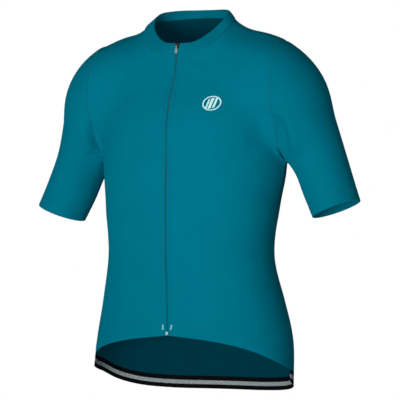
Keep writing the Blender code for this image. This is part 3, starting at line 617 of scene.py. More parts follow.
class Tree:
    """short names for building node trees"""
    def __init__(self, tree):
        self.t = tree

    def node(self, kind, **kw):
        n = self.t.nodes.new(kind)
        for k, v in kw.items():
            setattr(n, k, v)
        return n

    def put(self, socket, value):
        if isinstance(value, bpy.types.NodeSocket):
            self.t.links.new(value, socket)
        else:
            socket.default_value = value

    def math(self, op, a, b=0.0, clamp=False):
        n = self.node('ShaderNodeMath', operation=op, use_clamp=clamp)
        self.put(n.inputs[0], a)
        self.put(n.inputs[1], b)
        return n.outputs[0]

    def mix(self, f, a, b):
        n = self.node('ShaderNodeMix', data_type='RGBA')
        self.put(n.inputs[0], f)
        self.put(n.inputs[6], a)
        self.put(n.inputs[7], b)
        return n.outputs[2]

    def noise(self, vec, scale, detail=2.0, rough=0.5):
        n = self.node('ShaderNodeTexNoise')
        self.put(n.inputs['Vector'], vec)
        n.inputs['Scale'].default_value = scale
        n.inputs['Detail'].default_value = detail
        n.inputs['Roughness'].default_value = rough
        return n.outputs['Fac']

    def bump(self, height, distance, strength=1.0, normal=None):
        n = self.node('ShaderNodeBump')
        n.inputs['Strength'].default_value = strength
        n.inputs['Distance'].default_value = distance
        self.put(n.inputs['Height'], height)
        if normal is not None:
            self.put(n.inputs['Normal'], normal)
        return n.outputs['Normal']

    def uv(self):
        u = self.node('ShaderNodeUVMap', uv_map='cut')
        s = self.node('ShaderNodeSeparateXYZ')
        self.put(s.inputs[0], u.outputs[0])
        return u.outputs[0], s.outputs[0], s.outputs[1]

    def local(self):
        c = self.node('ShaderNodeTexCoord')
        return c.outputs['Object']


def knit(name, colour, wale=0.00095, course=0.00075, sheen=0.12, dark=0.80, painted_glow=None):
    """fine polyester knit: columns of small V stitches, with a soft mottle, painted shade in the stitch grooves and,
    when asked, a painted glow
    """
    m, t, b = nodes_of(name)
    T = Tree(t)
    vec, u, v = T.uv()
    x = T.math('MULTIPLY', u, 1 / wale)
    fx = T.math('SUBTRACT', T.math('FRACT', x), 0.5)            # -0.5 to 0.5 across a wale
    ax = T.math('ABSOLUTE', fx)
    leg = T.math('COSINE', T.math('MULTIPLY', T.math('SUBTRACT', T.math('MULTIPLY', ax, 4.0), 1.0), pi * 0.5))
    y = T.math('ADD', T.math('MULTIPLY', v, 1 / course), T.math('MULTIPLY', ax, 1.1))
    fy = T.math('ABSOLUTE', T.math('SINE', T.math('MULTIPLY', y, pi)))
    height = T.math('MULTIPLY', leg, T.math('ADD', T.math('MULTIPLY', fy, 0.6), 0.4))
    P = T.local()
    soft = T.noise(P, 16.0, 3.0, 0.55)
    fine = T.noise(P, 520.0, 2.0, 0.6)
    base = (*colour, 1)
    low = (*(c * dark for c in colour), 1)
    high = (*(c * 1.07 for c in colour), 1)
    # the colour mixes painted shade in the stitch grooves, taken from the stitch height, with a fine and a soft random
    # mottle
    f = T.math('ADD', T.math('MULTIPLY', height, 0.30), T.math('MULTIPLY', fine, 0.22))
    f = T.math('ADD', f, T.math('MULTIPLY', soft, 0.55), clamp=True)
    col = T.mix(f, low, high)
    # painted shade along the seams and fold edges: the colour darkens by the per-point seam strength
    a = T.node('ShaderNodeAttribute', attribute_name='seam_shade')
    col = T.mix(T.math('MULTIPLY', a.outputs['Fac'], 0.30, clamp=True), col, (*(c * 0.55 for c in colour), 1))
    T.put(b.inputs['Base Color'], col)
    T.put(b.inputs['Roughness'], T.math('ADD', T.math('MULTIPLY', soft, 0.16), 0.72))
    b.inputs['Specular IOR Level'].default_value = 0.0
    b.inputs['Sheen Weight'].default_value = sheen
    b.inputs['Sheen Roughness'].default_value = 0.45
    b.inputs['Sheen Tint'].default_value = (0.0, 0.62, 0.80, 1)
    if painted_glow:                       # painted glow: an emission that stands in for daylight coming through the thin cloth
        b.inputs['Emission Color'].default_value = (*painted_glow, 1)
        b.inputs['Emission Strength'].default_value = 1.0
    n1 = T.bump(T.noise(P, 38.0, 2.0, 0.5), 0.0006, 0.5)
    T.put(b.inputs['Normal'], T.bump(height, 0.00022, 0.8, n1))
    return m


def plain(name, colour, rough, metal=0.0, spec=0.4, grain=900.0, depth=0.00005, vary=0.12, sheen=0.0):
    m, t, b = nodes_of(name)
    T = Tree(t)
    P = T.local()
    n = T.noise(P, grain, 3.0, 0.6)
    w = T.noise(P, 120.0, 2.0, 0.5)
    f = T.math('ADD', T.math('MULTIPLY', n, 0.5), T.math('MULTIPLY', w, 0.5), clamp=True)
    T.put(b.inputs['Base Color'], T.mix(f, (*(c * (1 - vary) for c in colour), 1), (*(min(1, c * (1 + vary)) for c in colour), 1)))
    T.put(b.inputs['Roughness'], T.math('ADD', T.math('MULTIPLY', n, 0.16), rough - 0.08))
    b.inputs['Metallic'].default_value = metal
    b.inputs['Specular IOR Level'].default_value = spec
    if sheen:
        b.inputs['Sheen Weight'].default_value = sheen
    T.put(b.inputs['Normal'], T.bump(n, depth, 0.6))
    return m


def elastic(name, width, top, grey):
    """woven elastic: black, a flecked grey stripe, black; ribs run across the band"""
    m, t, b = nodes_of(name)
    T = Tree(t)
    vec, u, v = T.uv()
    inside = T.math('MULTIPLY', T.math('GREATER_THAN', v, top), T.math('LESS_THAN', v, top + grey))
    w = T.node('ShaderNodeMapping')
    T.put(w.inputs['Vector'], vec)
    w.inputs['Scale'].default_value = (420.0, 900.0, 1.0)
    fleck = T.node('ShaderNodeTexNoise')
    T.put(fleck.inputs['Vector'], w.outputs[0])
    fleck.inputs['Scale'].default_value = 1.0
    fleck.inputs['Detail'].default_value = 2.0
    f = T.math('MULTIPLY', T.math('SUBTRACT', fleck.outputs['Fac'], 0.40), 5.0, clamp=True)
    grey_col = T.mix(f, (0.085, 0.105, 0.110, 1), (0.56, 0.63, 0.64, 1))
    rib = T.math('ABSOLUTE', T.math('SINE', T.math('MULTIPLY', u, pi / 0.0011)))
    course = T.math('ABSOLUTE', T.math('SINE', T.math('MULTIPLY', v, pi / 0.0009)))
    black = T.mix(T.math('MULTIPLY', rib, 0.7), (0.0012, 0.0014, 0.0020, 1), (0.0036, 0.0040, 0.0052, 1))
    T.put(b.inputs['Base Color'], T.mix(inside, black, grey_col))
    T.put(b.inputs['Roughness'], T.math('ADD', T.math('MULTIPLY', rib, 0.2), 0.6))
    b.inputs['Specular IOR Level'].default_value = 0.05
    h = T.math('ADD', T.math('MULTIPLY', rib, 0.7), T.math('MULTIPLY', course, 0.3))
    T.put(b.inputs['Normal'], T.bump(h, 0.00025, 0.9))
    return m


TEAL = (0.0, 0.192, 0.281)
M_BODY = knit('knit_body', TEAL)
M_SLEEVE = knit('knit_sleeve', (0.0, 0.186, 0.272), wale=0.0010)
M_COLLAR = knit('knit_collar', (0.0, 0.196, 0.286), wale=0.0009)
M_POCKET = knit('knit_pocket', (0.0, 0.186, 0.272), wale=0.0010)
# inner faces of the cloth: darker copies of the knit, painted shade for the inside of the garment where little light
# reaches; both also carry a painted glow
M_INSIDE_SHADE = knit('knit_inside_painted_shade', (0.0, 0.033, 0.049), wale=0.0010, sheen=0.03, painted_glow=(0.0, 0.0110, 0.0185))
M_INNER_FACE_SHADE = knit('knit_inner_face_painted_shade', (0.0, 0.135, 0.195), wale=0.0010, sheen=0.03, painted_glow=(0.0, 0.0180, 0.0270))
M_THREAD = plain('thread', (0.0, 0.150, 0.215), 0.7, spec=0.2, grain=3000.0, sheen=0.1)
M_THREAD_DARK = plain('thread_dark', (0.004, 0.005, 0.007), 0.7, spec=0.2, grain=3000.0)
M_TAPE = plain('zip_tape', (0.0, 0.120, 0.170), 0.75, spec=0.2, grain=2600.0, depth=0.0001)
M_COIL = plain('zip_coil', (0.0, 0.125, 0.170), 0.45, spec=0.3, grain=1500.0)
M_METAL = plain('zip_metal', (0.56, 0.66, 0.66), 0.34, metal=0.9, spec=0.5, grain=1400.0, depth=0.00004)
M_METAL_DARK = plain('zip_metal_dark', (0.10, 0.115, 0.12), 0.38, metal=0.85, spec=0.5, grain=1400.0, depth=0.00004)
M_MARK = plain('reflective', (0.14, 0.50, 0.56), 0.35, spec=0.6, grain=2200.0)
M_PRINT = plain('print', (0.54, 0.93, 0.95), 0.5, spec=0.3, grain=1600.0, vary=0.05)
BAND_TOP, BAND_GREY = 0.0085, 0.0075
M_BAND = elastic('gripper', BAND, BAND_TOP, BAND_GREY)


def wear(obj, slot, *nodes):
    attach(obj, BODY_NAME)
    if nodes:
        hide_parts(*nodes)
    return obj


def cloth_area(G, wrap=False):
    F = grid_faces(G.shape[0], G.shape[1], wrap)
    V = G.reshape(-1, 3)
    a, b, c, d = (V[F[:, k]] for k in range(4))
    return float((np.linalg.norm(np.cross(c - a, d - b), axis=1) / 2).sum())


# ------------------------------------------------------------------ body panels
GF = {s: half_panel(s, False) for s in (1, -1)}
GB = {s: half_panel(s, True) for s in (1, -1)}
NF = {s: outward(GF[s]) for s in (1, -1)}
NB = {s: outward(GB[s]) for s in (1, -1)}
ROWS = SIDE_N + HOLE_N
CF, CB = ROWS - NECK_N[False], ROWS - NECK_N[True]     # rows where the centre lines reach the neckline
GC = collar()
FC = grid_faces(*GC.shape[:2])
NC = np.zeros((GC.shape[0] * GC.shape[1], 3))
_v = GC.reshape(-1, 3)
_n = np.cross(_v[FC[:, 2]] - _v[FC[:, 0]], _v[FC[:, 3]] - _v[FC[:, 1]])
for k in range(4):
    np.add.at(NC, FC[:, k], _n)
NC = unit(NC).reshape(GC.shape)
if NC[1, GC.shape[1] // 2, 1] < 0:
    NC = -NC
NC[:, 0, 0] = NC[:, -1, 0] = 0
NC = unit(NC)

# At the neckline the collar and the panels share one mitred direction.
ring = GC.shape[1]
KF, KB = NECK_N[False], NECK_N[True]
for j in range(ring):
    s = -1 if j <= ring // 2 else 1
    k = j if s < 0 else ring - 1 - j
    spots = []
    if k <= KF:
        spots.append((NF[s], CF + k))
    if k >= KF:
        spots.append((NB[s], CB + (KF + KB - k)))
        if k == KF + KB:
            spots.append((NB[1], CB))
    m = unit(spots[0][0][spots[0][1], 0] + NC[0, j])
    if k == KF + KB:
        m[0] = 0
        m = unit(m)
    m = m / max(m @ NC[0, j], 0.75)
    NC[0, j] = m
    for grid, row in spots:
        grid[row, 0] = m


def near_edges(G, neck_row, zip_edge=False):
    """distance of each grid point from the panel's seams: side and armhole, shoulder, neckline"""
    along = lengths(G, 1)
    right = along[:, -1:] - along
    left = along.copy()
    left[:neck_row] = 1.0 if not zip_edge else along[:neck_row]
    up = lengths(G, 0)
    top = up[-1:] - up
    return np.minimum(np.minimum(right, top), left), up, along


def seam_dip(d, width=0.0022, depth=0.00055):
    return -depth * np.exp(-(d / width)**2)


def eased(G, N, passes=160):
    """how far each point moves along its normal when the panel is evened out between its own edges"""
    P = G.copy()
    for _ in range(passes):
        P[1:-1, 1:-1] += 0.5 * ((P[:-2, 1:-1] + P[2:, 1:-1] + P[1:-1, :-2] + P[1:-1, 2:]) / 4 - P[1:-1, 1:-1])
    e = ((P - G) * N).sum(-1)
    up = np.minimum(lengths(G, 0), lengths(G, 0)[-1:] - lengths(G, 0))
    return np.clip(e, -0.006, 0.006) * np.clip(up / 0.03, 0, 1) * np.clip((G[..., 2] + 0.36) / 0.08, 0, 1)


DISP, SEAM_SHADE, UVS = {}, {}, {}
for s in (1, -1):
    for key, G, N, row in ((('f', s), GF[s], NF[s], CF), (('b', s), GB[s], NB[s], CB)):
        d, up, along = near_edges(G, row)
        e = creases(G, N)
        # seam edges lie in a shallow groove; the cloth beside the zip is folded under, so its edge rolls in
        e = e + eased(G, N) + seam_dip(d)
        if key[0] == 'f':
            z = along[:row + 1]
            e[:row + 1] += 0.00030 * np.exp(-((z - 0.0045) / 0.0025)**2) - 0.00035 * np.exp(-(z / 0.0012)**2) \
                - 0.00030 * np.exp(-((z - 0.0078) / 0.0022)**2)
            # the turned hem, 25 mm deep
            e += -0.00028 * np.exp(-((up - 0.025) / 0.0035)**2)
        DISP[key] = e
        # painted shade along each seam's groove; on the fronts also a painted shade line along the folded edge beside
        # the zip
        SEAM_SHADE[key] = np.exp(-(d / 0.0016)**2)
        if key[0] == 'f':
            SEAM_SHADE[key][:row + 1] += 0.55 * np.exp(-((along[:row + 1] - 0.0066) / 0.0016)**2)
        UVS[key] = np.stack([along * (1 if s > 0 else -1), up], -1)

AREAS = {}
for s, name in ((1, 'front_left'), (-1, 'front_right')):
    G, N = GF[s], NF[s]
    V, M = G.reshape(-1, 3), N.reshape(-1, 3)
    free = np.zeros(G.shape[:2], bool)
    free[0] = True
    free[:CF + 1, 0] = True
    ob = shell(name + '.cloth', V, M, facing(V, grid_faces(*G.shape[:2]), M), CLOTH, M_BODY, DISP[('f', s)],
               UVS[('f', s)].reshape(-1, 2), SEAM_SHADE[('f', s)].ravel(), free.ravel(), inner_shade_mat=M_INSIDE_SHADE)
    wear(ob, 'knit_body', name)
    AREAS[name] = (ob, cloth_area(G))

# The back is one piece, joined on its centre column up to the neckline.
rows, cols = GB[1].shape[:2]
index = -np.ones((rows, cols), int)
extra = []
for i in range(rows):
    for j in range(cols):
        if j == 0 and i <= CB:
            index[i, j] = i * cols
        else:
            index[i, j] = rows * cols + len(extra)
            extra.append((i, j))
ei, ej = (np.array(k) for k in zip(*extra))
V = np.vstack([GB[1].reshape(-1, 3), GB[-1][ei, ej]])
N = np.vstack([NB[1].reshape(-1, 3), NB[-1][ei, ej]])
D = np.concatenate([DISP[('b', 1)].ravel(), DISP[('b', -1)][ei, ej]])
S = np.concatenate([SEAM_SHADE[('b', 1)].ravel(), SEAM_SHADE[('b', -1)][ei, ej]])
U = np.vstack([UVS[('b', 1)].reshape(-1, 2), UVS[('b', -1)][ei, ej]])
for i in range(CB + 1):
    V[i * cols, 0] = 0
    N[i * cols, 0] = 0
F1 = facing(V, grid_faces(rows, cols), N)
ii, jj = np.meshgrid(np.arange(rows - 1), np.arange(cols - 1), indexing='ij')
F2 = np.stack([index[ii, jj], index[ii, jj + 1], index[ii + 1, jj + 1], index[ii + 1, jj]], -1).reshape(-1, 4)
ob = shell('back.cloth', V, N, np.vstack([F1, facing(V, F2, N)]), CLOTH, M_BODY, D, U, S, np.zeros(len(V), bool),
           inner_shade_mat=M_INSIDE_SHADE)
wear(ob, 'knit_body', 'back')
AREAS['back'] = (ob, cloth_area(GB[1]) + cloth_area(GB[-1]))

# ------------------------------------------------------------------ sleeves
GS, NS, DS = {}, {}, {}
for s, name in ((1, 'sleeve_left'), (-1, 'sleeve_right')):
    G = sleeve(s)
    N = outward(G)
    down = lengths(G, 0)
    loop = np.concatenate([G, G[:, :1]], 1)
    round_ = lengths(loop, 1)[:, :-1]
    up = down[-1:] - down
    e = creases(G, N) + seam_dip(down)
    e += -0.00028 * np.exp(-((up - 0.022) / 0.0032)**2)
    GS[s], NS[s], DS[s] = G, N, e
    V, M = G.reshape(-1, 3), N.reshape(-1, 3)
    free = np.zeros(G.shape[:2], bool)
    free[-1] = True
    # painted shade along the armhole seam and the underarm seam
    # the sleeve's own seam runs along the underarm, from the armpit to the cuff
    seam_shade = np.exp(-(down / 0.0016)**2)
    across = np.minimum(round_, round_.max(1, keepdims=True) - round_)
    seam_shade = np.maximum(seam_shade, np.exp(-(across / 0.0016)**2))
    e += seam_dip(across, 0.0025, 0.0004)
    ob = shell(name + '.cloth', V, M, facing(V, grid_faces(*G.shape[:2], True), M), CLOTH, M_SLEEVE, e,
               np.stack([round_, down], -1).reshape(-1, 2), seam_shade.ravel(), free.ravel(), inner_shade_mat=M_INNER_FACE_SHADE)
    wear(ob, 'knit_sleeve', name)
    AREAS[name] = (ob, cloth_area(G, True))

# ------------------------------------------------------------------ collar
upc = lengths(GC, 0)
e = seam_dip(upc, 0.002, 0.0003)
free = np.ones(GC.shape[:2], bool)
free[0] = False
V, M = GC.reshape(-1, 3), NC.reshape(-1, 3)
# painted shade along the collar's neckline seam
ob = shell('collar.cloth', V, M, facing(V, FC, M), RIB, M_COLLAR, e,
           np.stack([lengths(GC, 1), upc], -1).reshape(-1, 2), np.exp(-(upc / 0.0016)**2).ravel(), free.ravel(),
           inner_shade_mat=M_INNER_FACE_SHADE)
wear(ob, 'knit_collar', 'collar')
AREAS['collar'] = (ob, cloth_area(GC))

# ------------------------------------------------------------------ elastic band on the back hem
low = {s: GB[s][0] for s in (1, -1)}
edge = np.vstack([low[-1][::-1], low[1][1:]])
drop = np.linspace(0, BAND, 13)
GH = onto(edge[None] + drop[:, None, None] * np.array([0, 0, -1.0]), 3)
NH = outward(GH)
V, M = GH.reshape(-1, 3), NH.reshape(-1, 3)
dH = creases(GH, NH)
upH = lengths(GH, 0)
dH = dH + seam_dip(upH, 0.0022, 0.0005)
free = np.ones(GH.shape[:2], bool)
free[0] = False
ob = shell('hem_gripper.elastic', V, M, facing(V, grid_faces(*GH.shape[:2]), M), 0.0014, M_BAND, dH,
           np.stack([lengths(GH, 1), upH], -1).reshape(-1, 2), None, free.ravel())
wear(ob, 'gripper_elastic', 'hem_gripper')
AREAS['hem_gripper'] = (ob, cloth_area(GH))

# ------------------------------------------------------------------ rear pocket: one panel, sewn into three
i0, i1 = 1 * K, 7 * K
share = 0.87                                # how far out towards the side seam, as on the frame
jc = int(np.searchsorted(COLS, 0.74))
PG = np.concatenate([GB[-1][i0:i1 + 1, jc:0:-1], GB[1][i0:i1 + 1, :jc + 1]], axis=1)
PN = np.concatenate([NB[-1][i0:i1 + 1, jc:0:-1], NB[1][i0:i1 + 1, :jc + 1]], axis=1)
PD = np.concatenate([DISP[('b', -1)][i0:i1 + 1, jc:0:-1], DISP[('b', 1)][i0:i1 + 1, :jc + 1]], axis=1)
pu, pv = lengths(PG, 1), lengths(PG, 0)
wide = pu[:, -1:]
tall = pv[-1:]
third = np.abs(np.mod(pu / wide * 3 + 0.5, 1) - 0.5) * wide / 3       # distance from a dividing line or side edge
rise = np.clip(pv / tall, 0, 1)
bulge = 0.0030 * np.clip(third / 0.045, 0, 1)**0.7 * rise**2.2
bind = 0.0006 * np.exp(-((tall - pv) / 0.006)**4)                      # the bound top edge is thicker
rest = -0.00045 * np.exp(-(third / 0.002)**2)
e = PD + GAP + CLOTH + bulge + bind + rest
V, M = PG.reshape(-1, 3), PN.reshape(-1, 3)
# painted shade along the pocket's side edges and dividing seams, and a fainter band of painted shade between the stitch
# rows below the top edge
pocket_seam_shade = np.maximum(np.exp(-(third / 0.0016)**2), np.exp(-((tall - pv - 0.012) / 0.0010)**2) * 0.6)
ob = shell('rear_pocket.cloth', V, M, facing(V, grid_faces(*PG.shape[:2]), M), CLOTH, M_POCKET, e,
           np.stack([pu, pv], -1).reshape(-1, 2), pocket_seam_shade.ravel(), np.ones(len(V), bool))
wear(ob, 'knit_body', 'rear_pocket')
AREAS['rear_pocket'] = (ob, cloth_area(PG))
PE = e

# ------------------------------------------------------------------ sewing
def thread(lines, name, mat, length=0.0024, pitch=0.0032, half=0.00022, lift=0.00012):
    """rows of stitches laid on the cloth; each line is (points, normals)"""
    V, F = [], []
    prof = [(-1, 0), (-0.5, 0.8), (0.5, 0.8), (1, 0)]
    for P, N in lines:
        L = np.concatenate([[0], np.cumsum(np.linalg.norm(np.diff(P, axis=0), axis=1))])
        n = int(L[-1] / pitch)
        if n < 1:
            continue
        c = (np.arange(n) + 0.5) * L[-1] / n
        A, B = ([np.stack([np.interp(c + o * length / 2, L, X[:, k]) for k in range(3)], 1) for X in (P, N)]
                for o in (-1, 1))
        for (a, na), (b, nb) in zip(zip(*A), zip(*B)):
            t = b - a
            q = np.linalg.norm(t)
            if q < 1e-6:
                continue
            t = t / q
            up = na + nb
            up = up / max(np.linalg.norm(up), 1e-9)
            side = np.cross(t, up)
            k = len(V)
            for where, narrow in ((a, 0.5), (a + t * q * 0.25, 1.0), (b - t * q * 0.25, 1.0), (b, 0.5)):
                for x, h in prof:
                    V.append(where + side * x * half * narrow + up * (lift * (narrow * 2 - 1) + h * half * narrow * 1.2 - 0.00004))
            for i in range(3):
                for j in range(3):
                    F.append((k + i * 4 + j, k + i * 4 + j + 1, k + i * 4 + j + 5, k + i * 4 + j + 4))
                F.append((k + i * 4 + 3, k + i * 4, k + i * 4 + 4, k + i * 4 + 7))
            F.append((k + 3, k + 2, k + 1, k))
            F.append((k + 12, k + 13, k + 14, k + 15))
    return new_object(name, V, F, mat, smooth=True, angle=60)


def laid(G, N, D):
    return G + N * D[..., None]


def column_line(G, N, D, offset, r0=0, r1=None):
    """a line at a fixed distance in from the grid's first column"""
    H = laid(G, N, D)[r0:r1]
    M = N[r0:r1]
    along = lengths(H, 1)
    out, nn = [], []
    for i in range(len(H)):
        out.append([np.interp(offset, along[i], H[i, :, k]) for k in range(3)])
        nn.append([np.interp(offset, along[i], M[i, :, k]) for k in range(3)])
    return np.array(out), np.array(nn)


def row_line(G, N, D, offset, c0=0, c1=None):
    """a line at a fixed distance in from the grid's first row"""
    return column_line(G.transpose(1, 0, 2), N.transpose(1, 0, 2), D.T, offset, c0, c1)


lines = {'front_left': [], 'front_right': [], 'back': [], 'sleeve_left': [], 'sleeve_right': [], 'collar': [], 'pocket': []}
for s, front, sleeve_name in ((1, 'front_left', 'sleeve_left'), (-1, 'front_right', 'sleeve_right')):
    G, N, D = GF[s], NF[s], DISP[('f', s)]
    lines[front].append(column_line(G, N, D, 0.0070, 0, CF + 1))
    for off in (0.0235, 0.0262):
        lines[front].append(row_line(G, N, D, off, 2, -1))
    flip = lambda A: A[:, ::-1]
    for off in (0.0016, 0.0044):
        lines[front].append(column_line(flip(G), flip(N), flip(D), off, 2, -2))
        lines[front].append(row_line(G[::-1], N[::-1], D[::-1], off, 2, -2))
    lines[front].append(column_line(G, N, D, 0.0018, CF + 1, -2))
    G, N, D = GB[s], NB[s], DISP[('b', s)]
    for off in (0.0016, 0.0044):
        lines['back'].append(column_line(flip(G), flip(N), flip(D), off, 2, -2))
        lines['back'].append(row_line(G[::-1], N[::-1], D[::-1], off, 2, -2))
    lines['back'].append(column_line(G, N, D, 0.0018, CB + 1, -2))
    lines['back'].append(row_line(G, N, D, 0.0020, 0, -1))
    G, N, D = GS[s], NS[s], DS[s]
    wrap = lambda A: np.concatenate([A, A[:, :1]], 1)
    for off in (0.0210, 0.0236):
        lines[sleeve_name].append(row_line(wrap(G)[::-1], wrap(N)[::-1], wrap(D)[::-1], off))
    lines[sleeve_name].append(row_line(wrap(G), wrap(N), wrap(D), 0.0018))
lines['collar'].append(row_line(GC, NC, e * 0 if e.shape == GC.shape[:2] else np.zeros(GC.shape[:2]), 0.0020, 1, -1))
zc = np.zeros(GC.shape[:2])
lines['collar'].append(row_line(GC[::-1], NC[::-1], zc, 0.0040, 1, -1))
lines['collar'].append(column_line(GC, NC, zc, 0.0070, 1, -1))
lines['collar'].append(column_line(GC[:, ::-1], NC[:, ::-1], zc, 0.0070, 1, -1))
c = PG.shape[1]
for off in (0.0014,):
    lines['pocket'].append(column_line(PG, PN, PE, off))
    lines['pocket'].append(column_line(PG[:, ::-1], PN[:, ::-1], PE[:, ::-1], off))
    lines['pocket'].append(row_line(PG, PN, PE, off))
lines['pocket'].append(row_line(PG[::-1], PN[::-1], PE[::-1], 0.0110))
lines['pocket'].append(row_line(PG[::-1], PN[::-1], PE[::-1], 0.0135))
for f in (1 / 3, 2 / 3):
    H = laid(PG, PN, PE)
    A = np.array([[np.interp(f * pu[i, -1], pu[i], H[i, :, k]) for k in range(3)] for i in range(len(H))])
    B = np.array([[np.interp(f * pu[i, -1], pu[i], PN[i, :, k]) for k in range(3)] for i in range(len(H))])
    side = unit(np.cross(np.gradient(A, axis=0), B))
    for o in (-0.0012, 0.0012):
        lines['pocket'].append((A + side * o, B))
for part, many in lines.items():
    slot = {'collar': 'knit_collar', 'sleeve_left': 'knit_sleeve', 'sleeve_right': 'knit_sleeve'}.get(part, 'knit_body')
    wear(thread(many, part + '.stitches', M_THREAD), slot)
# the band is joined on with two dark rows
bl = [row_line(GH, NH, dH, off, 1, -1) for off in (0.0016, 0.0042)]
wear(thread(bl, 'hem_gripper.stitches', M_THREAD_DARK), 'gripper_elastic')

# ------------------------------------------------------------------ zip
left = np.vstack([laid(GF[-1], NF[-1], 0 * DISP[('f', -1)])[:CF + 1, 0], GC[1:, 0]])
right = np.vstack([laid(GF[1], NF[1], 0 * DISP[('f', 1)])[:CF + 1, 0], GC[1:, -1]])
nrm = np.vstack([NF[-1][:CF + 1, 0] + NF[1][:CF + 1, 0], NC[1:, 0] + NC[1:, -1]])
nrm[:, 0] = 0
nrm = unit(nrm)
mid = (left + right) / 2
mid[:, 0] = 0
L = np.concatenate([[0], np.cumsum(np.linalg.norm(np.diff(mid, axis=0), axis=1))])
ZN = int(L[-1] / 0.003)
t = np.linspace(0.0012, L[-1] - 0.0015, ZN)
C = np.stack([np.interp(t, L, mid[:, k]) for k in range(3)], 1)
CN = unit(np.stack([np.interp(t, L, nrm[:, k]) for k in range(3)], 1))
X = np.array([1.0, 0, 0])
section = [(-0.0115, -0.0022), (-0.0021, -0.0019), (0.0, -0.0017), (0.0021, -0.0019), (0.0115, -0.0022),
           (0.0115, -0.0029), (0.0, -0.0026), (-0.0115, -0.0029)]
# the tape follows the cloth, whose surface falls away on both sides of the middle
def drop_at(z, x):
    P = on_side(np.full(len(z), x), z)
    return P[:, 1]
V = []
for x, h in section:
    if abs(x) < 0.004:
        V.append(C + X * x + CN * h)
    else:
        top = t > L[CF]
        P = C + X * x
        y = C[:, 1] + 0.0
        q = on_side(np.full(len(C), x), np.minimum(C[:, 2], mid[CF, 2] - 0.001))
        q0 = on_side(np.full(len(C), 0.0), np.minimum(C[:, 2], mid[CF, 2] - 0.001))
        P[:, 1] = C[:, 1] + (q[:, 1] - q0[:, 1]) + np.where(top, 0.0006, 0.0)
        V.append(P + CN * h)
V = np.stack(V, 1)
n, m = V.shape[:2]
F = [list(f) for f in grid_faces(n, m, True)] + [list(range(m))[::-1], [(n - 1) * m + k for k in range(m)]]
me_v = V.reshape(-1, 3)
tape = new_object('zip_chain.tape', me_v, F, M_TAPE, smooth=True, angle=30)
wear(tape, 'zip_tape', 'zip_chain')

# moulded coil: interlocked loops, one each side in turn
V, F = [], []
TOOTH = 0.00105
k = 0
pos = np.arange(0.004, L[-1] - 0.0035, TOOTH)
P = np.stack([np.interp(pos, L, mid[:, a]) for a in range(3)], 1)
Q = unit(np.stack([np.interp(pos, L, nrm[:, a]) for a in range(3)], 1))
for i in range(len(pos)):
    side = 1 if i % 2 else -1
    T_ = unit(np.cross(X, Q[i]))
    x0, x1 = side * 0.00165, -side * 0.00055
    ring8 = []
    for x, r, h in ((x0, 0.55, -0.00125), (side * 0.0012, 1.0, -0.00085), (0.0, 1.0, -0.00075), (x1, 0.7, -0.00090)):
        for a, b in ((-1, 0), (0, 1), (1, 0), (0, -1)):
            V.append(P[i] + X * x + T_ * a * TOOTH * 0.46 * r + Q[i] * (h + b * 0.00042 * r))
    base = len(V) - 16
    for a in range(3):
        for b in range(4):
            F.append((base + a * 4 + b, base + a * 4 + (b + 1) % 4, base + (a + 1) * 4 + (b + 1) % 4, base + (a + 1) * 4 + b))
    F.append((base + 3, base + 2, base + 1, base))
    F.append((base + 12, base + 13, base + 14, base + 15))
coil = new_object('zip_chain.coil', V, F, M_COIL, smooth=True, angle=70)
me = coil.data
wear(coil, 'zip_tape')

# ------------------------------------------------------------------ metal parts stay as the frame has them, with softened edges and a real finish
for node, wide, finish in (('zip_slider', 0.00022, M_METAL_DARK), ('zip_pull', 0.00022, M_METAL),
                           ('zip_bottom_stop', 0.00025, M_METAL)):
    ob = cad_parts[node]
    ob.data.materials.clear()
    ob.data.materials.append(finish)
    mod = ob.modifiers.new('edges', 'BEVEL')
    mod.width = wide
    mod.segments = 2
    mod.limit_method = 'ANGLE'
    mod.angle_limit = radians(40)

# ------------------------------------------------------------------ reflective marks and the badge
def plate(name, outline, thick, lift, mat, hole=None, n_rings=5):
    """a thin plate over the front from a closed outline of (x, z); with a hole it is a band between the two outlines"""
    o = np.array(outline, float)
    c = o.mean(0)
    k = len(o)
    if hole is None:
        rings = [c + (o - c) * f for f in np.linspace(1.0 / n_rings, 1, n_rings)]
        pts = np.vstack([[c], *rings])
        F = [(0, 1 + j, 1 + (j + 1) % k) for j in range(k)]
        for r in range(n_rings - 1):
            a, b = 1 + r * k, 1 + (r + 1) * k
            F += [(a + j, b + j, b + (j + 1) % k, a + (j + 1) % k) for j in range(k)]
        rim_ = [(1 + (n_rings - 1) * k + j, 1 + (n_rings - 1) * k + (j + 1) % k) for j in range(k)]
    else:
        h = np.array(hole, float)
        pts = np.vstack([h, o])
        F = [(j, k + j, k + (j + 1) % k, (j + 1) % k) for j in range(k)]
        rim_ = [(k + j, k + (j + 1) % k) for j in range(k)] + [((j + 1) % k, j) for j in range(k)]
    V = on_side(pts[:, 0], pts[:, 1])
    N = outward(V)
    D = creases(V, N)
    top, low_ = V + N * (D + lift + thick)[:, None], V + N * (D + lift)[:, None]
    a, b, c3 = (V[i] for i in F[0][:3])
    if np.cross(b - a, c3 - a) @ N[0] < 0:
        F = [f[::-1] for f in F]
        rim_ = [e_[::-1] for e_ in rim_]
    n = len(V)
    faces = list(F) + [tuple(i + n for i in f[::-1]) for f in F] + [(b, a, a + n, b + n) for a, b in rim_]
    return new_object(name, np.vstack([top, low_]), faces, mat, smooth=True, angle=30)


def joined(name, parts):
    with bpy.context.temp_override(active_object=parts[0], selected_editable_objects=parts, selected_objects=parts):
        bpy.ops.object.join()
    parts[0].name = name
    return parts[0]


for s, node, slant in ((1, 'zip_mark_left', 0.0012), (-1, 'zip_mark_right', 0.0)):
    cx, cz, w, h = s * 0.0085, -0.5665, 0.0016, 0.0050
    a = np.linspace(0, 2 * pi, 33)[:-1]
    sq = [(np.sign(cos(t_)) * abs(cos(t_))**0.35, np.sign(sin(t_)) * abs(sin(t_))**0.35) for t_ in a]
    o = [(cx + w * p + slant * q, cz + h * q) for p, q in sq]
    wear(plate(node + '.tab', o, 0.0003, 0.00005, M_MARK), 'reflective_tab', node)

